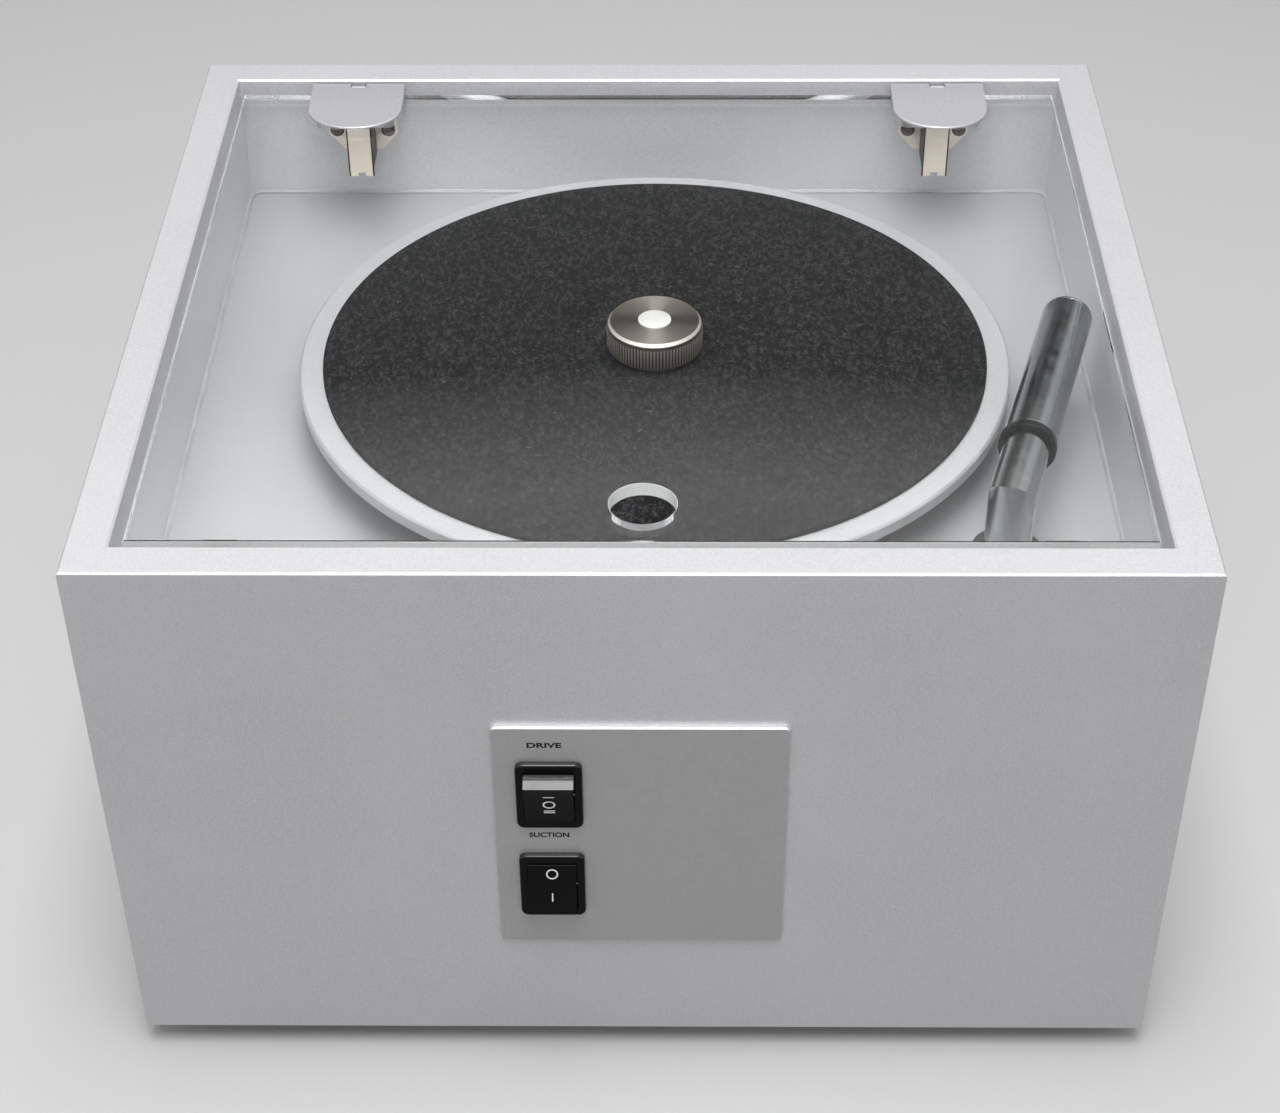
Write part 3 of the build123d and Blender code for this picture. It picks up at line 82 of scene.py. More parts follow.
JOINTS = {joint["name"]: joint for joint in frame["joints"]}
PLATTER_CENTRE = node_centre("platter")

# the arm starts at its elbow, and its axes point sideways, up and along it
ARM_TURN = math.radians(74.0)
ARM_ELBOW = np.array([*node_centre("stop_ring")[:2], node_centre("nozzle_tube")[2]])
ARM_AHEAD = (math.cos(ARM_TURN), math.sin(ARM_TURN), 0.0)
ARM_AXES = np.array([np.cross(ARM_AHEAD, (0, 0, 1)), (0, 0, 1), ARM_AHEAD])

# the hinges' folded strips: their place either side, half their width, and the foot of their knuckles
HINGE_X = 131.8 * MM
STRIP_HALF = 5.75 * MM
KNUCKLE_LOW = 238.6 * MM


# ---- settings a user would change
class RecordCleanerCabinet(bpy.types.PropertyGroup):
    """The lacquered cabinet and the deck."""

    lacquer: bpy.props.FloatVectorProperty(
        name="Lacquer", description="Colour of the silver lacquer", default=(0.56, 0.56, 0.575),
        subtype="COLOR", size=3,
    )
    sheen: bpy.props.FloatProperty(
        name="Lacquer roughness", description="How wide the lacquer spreads a highlight", default=0.42,
        min=0.0, max=1.0, subtype="FACTOR",
    )


class RecordCleanerPlatter(bpy.types.PropertyGroup):
    """The platter, its mat and the record clamp."""

    felt: bpy.props.FloatVectorProperty(
        name="Felt", description="Colour of the felt mat", default=(0.0085, 0.0083, 0.009),
        subtype="COLOR", size=3,
    )
    rim_bevel: bpy.props.FloatProperty(
        name="Rim bevel", description="Bevel on the platter's upper edge", default=1.0 * MM, unit="LENGTH"
    )
    knurls: bpy.props.IntProperty(
        name="Knurls", description="Ridges round the clamp knob", default=90, min=12, max=200,
    )
    knurl_depth: bpy.props.FloatProperty(
        name="Knurl depth", description="Depth of the grooves between the ridges", default=0.5 * MM,
        unit="LENGTH",
    )


class RecordCleanerArm(bpy.types.PropertyGroup):
    """The suction arm."""

    pile: bpy.props.FloatProperty(
        name="Velvet pile", description="Height of the velvet's uneven pile", default=0.15 * MM,
        unit="LENGTH",
    )
    end_round: bpy.props.FloatProperty(
        name="End rounding", description="Rounding of the nozzle tube's ends", default=0.7 * MM,
        unit="LENGTH",
    )
    metal: bpy.props.FloatVectorProperty(
        name="Tube metal", description="Colour of the plated tubes", default=(0.43, 0.455, 0.46),
        subtype="COLOR", size=3,
    )


class RecordCleanerSwitches(bpy.types.PropertyGroup):
    """The rocker switches and the lettering."""

    marks: bpy.props.FloatVectorProperty(
        name="Marks", description="Colour of the marks on the rockers", default=(0.82, 0.82, 0.82),
        subtype="COLOR", size=3,
    )
    letter_height: bpy.props.FloatProperty(
        name="Letter height", description="Height of the capitals on the control plate",
        default=2.5 * MM, unit="LENGTH",
    )


class RecordCleanerStage(bpy.types.PropertyGroup):
    """The floor, the lamps and the camera."""

    overhead: bpy.props.FloatProperty(
        name="Overhead lamp", description="Strength of the lamp overhead", default=10.0, unit="POWER",
    )
    bright: bpy.props.FloatProperty(
        name="Long lamp", description="Strength of the long bright lamp", default=23.0, unit="POWER",
    )
    fill: bpy.props.FloatProperty(
        name="Front lamp", description="Strength of the lamp in front", default=2.4, unit="POWER",
    )
    floor: bpy.props.FloatProperty(
        name="Floor", description="Brightness of the floor", default=0.60, min=0.0, max=1.0,
    )


# ---- mesh making
def ring_faces(rings, count, closed=False):
    """The quads between rings of points, the last ring joined to the first where closed."""
    ring, point = np.mgrid[0 : rings if closed else rings - 1, 0:count]
    next_ring, next_point = (ring + 1) % rings * count, (point + 1) % count
    ring = ring * count
    corners = [ring + point, ring + next_point, next_ring + next_point, next_ring + point]
    return np.stack(corners, axis=-1).reshape(-1, 4)


def show(name, data):
    """A mesh, curve, lamp or camera put into the scene as an object of that name."""
    shown = bpy.data.objects.new(name, data)
    bpy.context.scene.collection.objects.link(shown)
    return shown


def show_smooth(name, mesh, sharp):
    """A mesh shown smooth but for edges sharper than an angle in degrees."""
    mesh.shade_smooth()
    mesh.set_sharp_from_angle(angle=math.radians(sharp))
    return show(name, mesh)


def make_piece(name, points, faces, caps=(), sharp=32.0):
    """A piece from points, quads and end caps, its doubles merged and its normals outwards."""
    mesh = bpy.data.meshes.new(name)
    faces = faces.tolist() + [list(cap) for cap in caps]
    mesh.from_pydata(np.asarray(points).reshape(-1, 3).tolist(), [], faces)
    worked = bmesh.new()
    worked.from_mesh(mesh)
    bmesh.ops.remove_doubles(worked, verts=worked.verts, dist=1e-7)
    bmesh.ops.recalc_face_normals(worked, faces=worked.faces)
    worked.to_mesh(mesh)
    worked.free()
    return show_smooth(name, mesh, sharp)


def join_meshes(name, parts):
    """One object from several made pieces, each kept as its own closed shell."""
    worked = bmesh.new()
    for part in parts:
        worked.from_mesh(part.data)
    mesh = bpy.data.meshes.new(name)
    worked.to_mesh(mesh)
    worked.free()
    for part in parts:
        bpy.data.meshes.remove(part.data)
    return show(name, mesh)


def soften(corners, radius, steps=4, closed=False):
    """A line whose corners become quadratic curves, from radius before each corner to radius past it."""
    corners = np.asarray(corners, float)
    back = np.roll(corners, 1, axis=0) - corners
    ahead = np.roll(corners, -1, axis=0) - corners
    back_length = np.linalg.norm(back, axis=1, keepdims=True) + 1e-12
    ahead_length = np.linalg.norm(ahead, axis=1, keepdims=True) + 1e-12
    start = corners + back / back_length * np.minimum(radius, back_length * 0.45)
    end = corners + ahead / ahead_length * np.minimum(radius, ahead_length * 0.45)
    t = np.linspace(0, 1, steps)[None, :, None]
    curve = (1 - t) ** 2 * start[:, None] + 2 * t * (1 - t) * corners[:, None] + t**2 * end[:, None]
    line = curve.reshape(-1, 2)
    if closed:
        return line
    return np.concatenate([corners[:1], line[steps:-steps], corners[-1:]])


def lathe(name, profile, centre, sides=128, closed=False, axes=np.eye(3), sharp=32.0, shrink=0.0):
    """A profile of radius and height carried round an axis: x and y are radius times cosine and sine.

    shrink is taken off the radius, and may differ at every point and angle.
    """
    angle = np.linspace(0, 2 * np.pi, sides, endpoint=False)
    radius, height = np.asarray(profile, float).T[..., None]
    radius = radius - shrink
    local = np.stack([radius * np.cos(angle), radius * np.sin(angle), height + 0 * angle], axis=-1)
    faces = ring_faces(len(profile), sides, closed)
    return make_piece(name, np.asarray(centre) + local @ axes, faces, sharp=sharp)


def stack(name, rings, sharp=32.0, capped=True):
    """Rings of equal count joined one to the next, the first and last closed by a face where capped."""
    rings = np.asarray(rings)
    count = rings.shape[1]
    last = (len(rings) - 1) * count
    caps = [range(count), range(last, last + count)] if capped else []
    return make_piece(name, rings, ring_faces(len(rings), count), caps, sharp)


def rounded_rectangle(width, height, corner):
    """A rectangle whose corners are quarter circles of the corner radius."""
    steps = 7
    angle = (np.linspace(0, np.pi / 2, steps) + np.arange(4)[:, None] * np.pi / 2).reshape(-1)
    side_x = np.repeat([1, -1, -1, 1], steps) * (width / 2 - corner)
    side_y = np.repeat([1, 1, -1, -1], steps) * (height / 2 - corner)
    return np.stack([side_x + corner * np.cos(angle), side_y + corner * np.sin(angle)], axis=-1)


# ---- material making
class Nodes:
    """A node tree with short ways to add and join its nodes."""

    def __init__(self, tree):
        """The tree to work on."""
        self.tree = tree

    def add(self, kind, inputs=(), **settings):
        """A new node with its own settings, and its inputs joined to a socket or given a constant."""
        node = self.tree.nodes.new(kind)
        for key, value in settings.items():
            setattr(node, key, value)
        for key, value in dict(inputs).items():
            if isinstance(value, bpy.types.NodeSocket):
                self.link(value, node.inputs[key])
            elif value is not None:
                node.inputs[key].default_value = value
        return node

    def link(self, source, target):
        """One socket joined to another."""
        self.tree.links.new(source, target)

    def math(self, operation, first, second=None, clamp=False):
        """Arithmetic on one or two values, each a socket or a number."""
        inputs = {0: first, 1: second}
        return self.add("ShaderNodeMath", inputs, operation=operation, use_clamp=clamp).outputs["Value"]

    def spread(self, value, low, high, start=0.3, end=0.7):
        """A value carried from one range to another, whose ends are sockets or numbers."""
        inputs = {"Value": value, "From Min": start, "From Max": end, "To Min": low, "To Max": high}
        return self.add("ShaderNodeMapRange", inputs).outputs["Result"]


class Finish(Nodes):
    """A node material built up step by step around one Principled shader."""

    def __init__(self, name):
        """A new material, with Object coordinates ready."""
        self.material = bpy.data.materials.new(name)
        self.material.use_nodes = True
        super().__init__(self.material.node_tree)
        self.shader = self.tree.nodes["Principled BSDF"]
        self.place = self.add("ShaderNodeTexCoord").outputs["Object"]

    def set(self, **values):
        """Sockets or constants straight onto the shader's inputs, whose spaces are written as low lines."""
        for key, value in values.items():
            socket = self.shader.inputs[key.replace("_", " ")]
            if isinstance(value, bpy.types.NodeSocket):
                self.link(value, socket)
            else:
                socket.default_value = value
        return self

    def centred(self, centre, scale=(1, 1, 1)):
        """Coordinates measured from a centre and stretched."""
        location = [-c * s for c, s in zip(centre, scale)]
        inputs = {"Vector": self.place, "Location": location, "Scale": scale}
        return self.add("ShaderNodeMapping", inputs).outputs["Vector"]

    def noise(self, scale, detail=3.0, rough=0.5, vector=None):
        """Cloudy noise between 0 and 1."""
        inputs = {"Vector": vector or self.place, "Scale": scale, "Detail": detail, "Roughness": rough}
        return self.add("ShaderNodeTexNoise", inputs).outputs["Fac"]

    def rings(self, vector, pitch, waver, waver_scale=1.0):
        """Waves round the middle of a vector, a pitch apart, that waver a little."""
        scale = 2 * math.pi / (20.0 * pitch)
        inputs = {"Vector": vector, "Scale": scale, "Distortion": waver, "Detail Scale": waver_scale}
        wave = {"wave_type": "RINGS", "rings_direction": "Z", "wave_profile": "SIN"}
        return self.add("ShaderNodeTexWave", inputs, **wave).outputs["Fac"]

    def colours(self, value, stops):
        """A ramp of colours over a value."""
        ramp = self.add("ShaderNodeValToRGB", {"Fac": value})
        elements = ramp.color_ramp.elements
        while len(elements) < len(stops):
            elements.new(0.5)
        for element, (position, colour) in zip(elements, stops):
            element.position, element.color = position, (*colour, 1.0)
        return ramp.outputs["Color"]

    def mottled(self, value, colour, low, high, start=0.3, end=0.7):
        """A colour that goes from one shade to another over a value."""
        return self.colours(value, [(start, shaded(colour, low)), (end, shaded(colour, high))])

    def blend(self, amount, first, second):
        """Two colours mixed by an amount, each a socket or red, green and blue."""
        inputs = {0: amount, 6: first, 7: second}
        for key in (6, 7):
            if isinstance(inputs[key], tuple):
                inputs[key] = (*inputs[key], 1.0)
        return self.add("ShaderNodeMix", inputs, data_type="RGBA").outputs[2]

    def bump(self, height, distance, strength=1.0):
        """The shader's surface raised by a height over a distance in metres."""
        inputs = {"Height": height, "Distance": distance, "Strength": strength}
        return self.set(Normal=self.add("ShaderNodeBump", inputs).outputs["Normal"])


def shaded(colour, factor):
    """A colour made lighter or darker."""
    return tuple(min(1.0, c * factor) for c in colour)


def lacquer(name, colour, rough):
    """Silver lacquer: fine bright flakes under a satin coat, with a faint cloud and orange peel."""
    finish = Finish(name)
    cloud = finish.mottled(finish.noise(14.0), colour, 0.965, 1.035, 0.35, 0.65)
    flake = finish.spread(finish.noise(1500.0, 3.0, 0.8), 0.0, 1.0, 0.38, 0.66)
    finish.set(Base_Color=finish.blend(flake, cloud, shaded(colour, 1.22)))
    finish.set(Roughness=finish.spread(finish.noise(1900.0, 2.0), rough - 0.05, rough + 0.05))
    finish.bump(finish.noise(900.0, 3.0, 0.6), 0.00003, 0.35)
    return finish.set(Metallic=0.25, Coat_Weight=0.12, Coat_Roughness=0.25).material


def cast_plastic(name, colour, rough=0.5, grain=1400.0, depth=0.00004, specular=0.5):
    """Moulded plastic or rubber: an even colour with a fine grained skin."""
    finish = Finish(name)
    finish.set(Base_Color=finish.mottled(finish.noise(60.0), colour, 0.9, 1.12))
    finish.set(Roughness=finish.spread(finish.noise(240.0), rough - 0.06, rough + 0.06))
    finish.bump(finish.noise(grain, 2.0), depth, 0.5)
    return finish.set(Specular_IOR_Level=specular).material


def plain_metal(name, colour, rough=0.3, grain=500.0, depth=0.00002, metallic=1.0, stretch=(1, 1, 1)):
    """Bare or plated metal: a fine drawn grain, longest along the least stretched direction."""
    finish = Finish(name)
    drawn = finish.centred((0, 0, 0), stretch)
    grain_value = finish.noise(grain, 3.0, 0.6, drawn)
    finish.set(Base_Color=finish.mottled(grain_value, colour, 0.93, 1.05))
    worn = finish.noise(grain * 0.6, 3.0, 0.6, drawn)
    finish.set(Roughness=finish.spread(worn, rough - 0.06, rough + 0.07))
    finish.bump(grain_value, depth, 0.4)
    return finish.set(Metallic=metallic).material


def nickel_with_painted_side_shade(name, colour, top):
    """Nickel-plated strip: a plain pale face, with painted shade near black along its sides, grey above a
    height.
    """
    finish = Finish(name)
    place = finish.add("ShaderNodeSeparateXYZ", {"Vector": finish.place}).outputs
    across = finish.math("SUBTRACT", finish.math("ABSOLUTE", place["X"]), HINGE_X)
    reach = finish.math("ABSOLUTE", across)
    # painted shade: the strip's sides turn near black, standing for the shade in the slots beside it
    side_shade = finish.spread(reach, 0.0, 1.0, STRIP_HALF - 0.8 * MM, STRIP_HALF - 0.5 * MM)
    above = finish.spread(place["Z"], 0.0, 1.0, top - 0.5 * MM, top)
    face = finish.mottled(finish.noise(300.0, 2.0), colour, 0.96, 1.03)
    strip = finish.blend(side_shade, face, shaded(colour, 0.03))
    finish.set(Base_Color=finish.blend(above, strip, (0.30, 0.30, 0.31)))
    return finish.set(Metallic=0.6, Roughness=0.38).material


def turned_metal(name, colour, centre, rough, pitch=0.35 * MM, metallic=1.0):
    """Lathe-turned metal: fine rings about a centre, wavering a little with noise."""
    finish = Finish(name)
    value = finish.rings(finish.centred(centre), pitch, 1.2, 3.0)
    finish.set(Base_Color=finish.mottled(value, colour, 0.9, 1.06, 0.2, 0.8))
    finish.set(Roughness=finish.spread(value, rough + 0.08, rough - 0.04, 0.0, 1.0))
    finish.bump(value, 0.00002, 0.5)
    return finish.set(Metallic=metallic).material


def knob_metal(name, colour, centre, skin):
    """Turned metal that spreads light outwards from its centre, with a painted highlight round its top
    bevel; past the skin radius, knurling with painted shade down its grooves.
    """
    finish = Finish(name)
    middle = finish.centred(centre, (1, 1, 0))
    value = finish.rings(middle, 0.4 * MM, 1.0)
    reach = finish.add("ShaderNodeVectorMath", {0: middle}, operation="LENGTH").outputs["Value"]
    outside = finish.spread(reach, 0.0, 1.0, skin - 0.2 * MM, skin)
    bevel = finish.spread(reach, 0.0, 1.0, skin - 1.05 * MM, skin - 0.95 * MM)
    # painted shade: the knurling turns near black towards the bottom of its grooves
    groove_shade_mask = finish.spread(reach, 0.0, 1.0, skin + 0.12 * MM, skin + 0.52 * MM)
    knurled = finish.blend(groove_shade_mask, shaded(colour, 0.08), shaded(colour, 0.95))
    turned = finish.mottled(value, colour, 0.92, 1.05, 0.2, 0.8)
    # painted highlight: the ring of the top bevel is coloured far brighter than the turned top
    turned = finish.blend(bevel, turned, shaded(colour, 2.3))
    spaces = {"vector_type": "VECTOR", "convert_from": "OBJECT", "convert_to": "WORLD"}
    outwards = finish.add("ShaderNodeVectorTransform", {"Vector": middle}, **spaces)
    finish.set(
        Base_Color=finish.blend(outside, turned, knurled),
        Roughness=finish.spread(bevel, 0.28, 0.42, 0.0, 1.0),
        Metallic=finish.spread(outside, 1.0, 0.7, 0.0, 1.0),
        Anisotropic=finish.spread(bevel, 0.9, 0.0, 0.0, 1.0),
        Tangent=outwards.outputs["Vector"],
    )
    return finish.bump(value, 0.00001, 0.4).material


def felt(name, colour):
    """Felt: dark tangled fibres with scattered paler flecks, a soft nap and no shine."""
    finish = Finish(name)
    fibre = finish.noise(560.0, 6.0, 0.85, finish.centred((0, 0, 0), (1.0, 0.5, 1.0)))
    cross = finish.noise(430.0, 6.0, 0.85, finish.centred((0.3, 0.1, 0), (0.55, 1.0, 1.0)))
    stops = [(0.42, shaded(colour, 0.02)), (0.5, shaded(colour, 0.35)), (0.60, shaded(colour, 3.6))]
    ground = finish.colours(fibre, stops)
    flecks = finish.spread(cross, 0.0, 0.9, 0.585, 0.66)
    patch = finish.mottled(finish.noise(45.0), colour, 6.0, 15.0)
    finish.set(Base_Color=finish.blend(flecks, ground, patch))
    finish.bump(fibre, 0.0005, 0.9)
    return finish.set(
        Roughness=0.95, Specular_IOR_Level=0.12, Sheen_Weight=0.06, Sheen_Roughness=0.5
    ).material


def pane_glass(name):
    """Clear float glass, faintly green and mirror smooth; shadow rays pass straight through, dimmed."""
    finish = Finish(name)
    finish.set(Base_Color=(0.975, 0.985, 0.98, 1.0), IOR=1.45, Transmission_Weight=1.0)
    finish.set(Roughness=finish.spread(finish.noise(18.0), 0.0, 0.025))
    clear = finish.add("ShaderNodeBsdfTransparent", {"Color": (0.82, 0.83, 0.825, 1.0)})
    path = finish.add("ShaderNodeLightPath").outputs
    mixed = {0: path["Is Shadow Ray"], 1: finish.shader.outputs["BSDF"], 2: clear.outputs["BSDF"]}
    shown = finish.add("ShaderNodeMixShader", mixed).outputs["Shader"]
    finish.link(shown, finish.tree.nodes["Material Output"].inputs["Surface"])
    return finish.material


def ground_glass(name):
    """The ground edge of glass: white, faintly green and soft."""
    finish = Finish(name)
    stops = [(0.3, (0.88, 0.90, 0.89)), (0.7, (0.97, 0.98, 0.975))]
    return finish.set(Base_Color=finish.colours(finish.noise(700.0), stops), Roughness=0.35).material


def plywood(name, colour):
    """Plywood: long grain along the panel with darker pores."""
    finish = Finish(name)
    grain = finish.noise(40.0, 6.0, 0.65, finish.centred((0, 0, 0), (0.25, 3.0, 6.0)))
    stops = [(0.3, shaded(colour, 0.72)), (0.5, colour), (0.75, shaded(colour, 1.15))]
    finish.bump(grain, 0.0001, 0.4)
    return finish.set(Base_Color=finish.colours(grain, stops), Roughness=0.62).material


def ink(name, colour):
    """Printed ink: nearly even, slightly worn."""
    finish = Finish(name)
    finish.set(Base_Color=finish.mottled(finish.noise(800.0, 2.0), colour, 0.85, 1.1))
    return finish.set(Roughness=0.45).material


def finish_table():
    """For each kind of finish: the slot it goes by, if pieces need one, its maker and the maker's values."""
    scene = bpy.context.scene
    silver = tuple(scene.cleaner_cabinet.lacquer)
    sheen = scene.cleaner_cabinet.sheen
    return {
        "silver": (None, lacquer, "silver_lacquer", silver, sheen),
        # painted shade: the deck is the silver lacquer made darker, for the shade down in the well
        "deck": (None, lacquer, "deck_lacquer", shaded(silver, 0.61), sheen),
        "seal": ("clear_sealant", cast_plastic, "clear_sealant", (0.36, 0.36, 0.37), 0.4),
        "ply": (None, plywood, "birch_plywood", (0.60, 0.46, 0.30)),
        "rubber": (
            "black_rubber", cast_plastic, "black_rubber", (0.022, 0.022, 0.023), 0.72, 700.0, 0.00008
        ),
        "plate": (
            "bright_aluminium", plain_metal,
            "satin_plate", (0.78, 0.775, 0.79), 0.42, 1600.0, 0.00004, 0.75, (0.6, 1.0, 1.0),
        ),
        "caps": ("bright_aluminium", lacquer, "satin_caps", shaded(silver, 0.78), sheen - 0.1),
        "gloss": (
            "black_gloss_plastic", cast_plastic,
            "gloss_black", (0.002, 0.0024, 0.0026), 0.10, 1200.0, 0.000004, 0.45,
        ),
        "collar": (
            "black_matt_plastic", cast_plastic,
            "collar_black", (0.006, 0.007, 0.008), 0.3, 900.0, 0.00001, 0.2,
        ),
        "matt": ("black_matt_plastic", cast_plastic, "matt_black", (0.02, 0.02, 0.021), 0.5),
        "brass": (None, plain_metal, "terminal_brass", (0.70, 0.52, 0.26)),
        "bronze": ("terminal_brass", plain_metal, "bearing_bronze", (0.62, 0.42, 0.22), 0.35),
        "zinc": ("zinc_steel", plain_metal, "zinc_steel", (0.58, 0.59, 0.60), 0.38, 300.0),
        "steel": ("polished_steel", plain_metal, "polished_steel", (0.62, 0.62, 0.63), 0.2),
        # painted light: the strip's nickel is a paler copy of the wings' nickel, for the arm's lit face
        "strip": ("nickel_plate", nickel_with_painted_side_shade, "folded_strip", (0.99, 0.885, 0.77), KNUCKLE_LOW),
        "nickel": (
            "nickel_plate", plain_metal, "nickel_plate", (0.90, 0.83, 0.74), 0.34, 900.0, 0.000002, 0.75
        ),
        "screw": ("zinc_steel", plain_metal, "dark_screw", (0.17, 0.155, 0.135), 0.2),
        "platter": ("bright_aluminium", lacquer, "platter_aluminium", shaded(silver, 0.66), sheen - 0.06),
        "knob": (
            "bright_aluminium", knob_metal, "turned_knob", (0.40, 0.365, 0.33), PLATTER_CENTRE, 19.2 * MM
        ),
        "ground": ("clear_glass", ground_glass, "ground_glass"),
        "badge": (
            "bright_aluminium", turned_metal,
            "turned_centre", (0.70, 0.69, 0.66), PLATTER_CENTRE, 0.4, 0.3 * MM, 0.5,
        ),
        "pulley": (
            "turned_aluminium", turned_metal, "turned_pulley", (0.66, 0.66, 0.67), PLATTER_CENTRE, 0.3
        ),
        "felt": ("black_felt", felt, "mat_felt", tuple(scene.cleaner_platter.felt)),
        "velvet": ("black_felt", felt, "velvet", (0.012, 0.012, 0.013)),
        "chrome": (
            "chromed_tube", plain_metal, "plated_tube", tuple(scene.cleaner_arm.metal), 0.13, 260.0, 0.00001
        ),
        "can": ("motor_can", cast_plastic, "motor_enamel", (0.12, 0.12, 0.125), 0.35),
        "tank": ("tank_plastic", cast_plastic, "tank_plastic", (0.72, 0.72, 0.69), 0.42),
        "hose": ("hose_plastic", cast_plastic, "grey_hose", (0.30, 0.30, 0.31), 0.45),
        "winding": (
            "varnished_winding", cast_plastic, "varnished_winding", (0.40, 0.20, 0.06), 0.3, 300.0, 0.0002
        ),
        "glass": ("clear_glass", pane_glass, "clear_pane"),
        "letter": ("black_gloss_plastic", ink, "black_lettering", (0.006, 0.006, 0.007)),
        "mark": ("black_gloss_plastic", ink, "rocker_mark", tuple(scene.cleaner_switches.marks)),
    }


@cache
def finish_for(key):
    """The slot and the material of a finish, made the first time that it is asked for."""
    slot, maker, *values = finish_table()[key]
    return slot, maker(*values)


def dress(piece, key, body, *stands_for, slot=None):
    """Give a piece its finish, and say what it moves with and which nodes it stands for."""
    usual_slot, material = finish_for(key)
    piece.data.materials.clear()
    piece.data.materials.append(material)
    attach(piece, body)
    if stands_for:
        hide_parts(*stands_for)
    return piece


def dress_node(name, key, bevel=0.0):
    """Give a frame node its finish, and break its edges with a small live bevel where one is asked for."""
    node = frame["nodes"][name]
    material = finish_for(key)[1]
    for slot in node.material_slots:
        slot.material = material
    if not node.material_slots:
        node.data.materials.append(material)
    if bevel:
        weld = node.modifiers.new("Weld", "WELD")
        weld.merge_threshold = 0.000005
        edge = node.modifiers.new("Edge", "BEVEL")
        edge.width = bevel
        edge.segments = 2
        edge.limit_method = "ANGLE"
        edge.angle_limit = math.radians(50)
        edge.use_clamp_overlap = True


def smooth_copy(name, key, body="cabinet", sharp=35.0, slot=None):
    """A merged copy of a frame node's mesh, smooth between its sharp edges, that stands for the node."""
    worked = bmesh.new()
    worked.from_mesh(frame["nodes"][name].data)
    bmesh.ops.remove_doubles(worked, verts=worked.verts, dist=2e-6)
    mesh = bpy.data.meshes.new(name + "_shown")
    worked.to_mesh(mesh)
    worked.free()
    if "custom_normal" in mesh.attributes:
        mesh.attributes.remove(mesh.attributes["custom_normal"])
    return dress(show_smooth(name + "_shown", mesh, sharp), key, body, name, slot=slot)


def smooth_copies(body, sharp=35.0, **finishes):
    """Smooth copies of several nodes that move with one body, each with its finish."""
    for name, key in finishes.items():
        smooth_copy(name, key, body, sharp)


# ---- the pieces
class DressCabinet(bpy.types.Operator):
    """Finish the panels, the deck, the base and the feet"""

    bl_idname = "cleaner.dress_cabinet"
    bl_label = "Cabinet"

    def execute(self, context):
        for name in ("front_panel", "back_panel", "left_panel", "right_panel"):
            dress_node(name, "silver")
        dress_node("deck", "deck")
        dress_node("deck_battens", "ply", 0.3 * MM)
        dress_node("base_plate", "ply", 0.2 * MM)
        smooth_copies("cabinet", deck_seal="seal", feet="rubber", lid_pads="rubber")
        return {"FINISHED"}


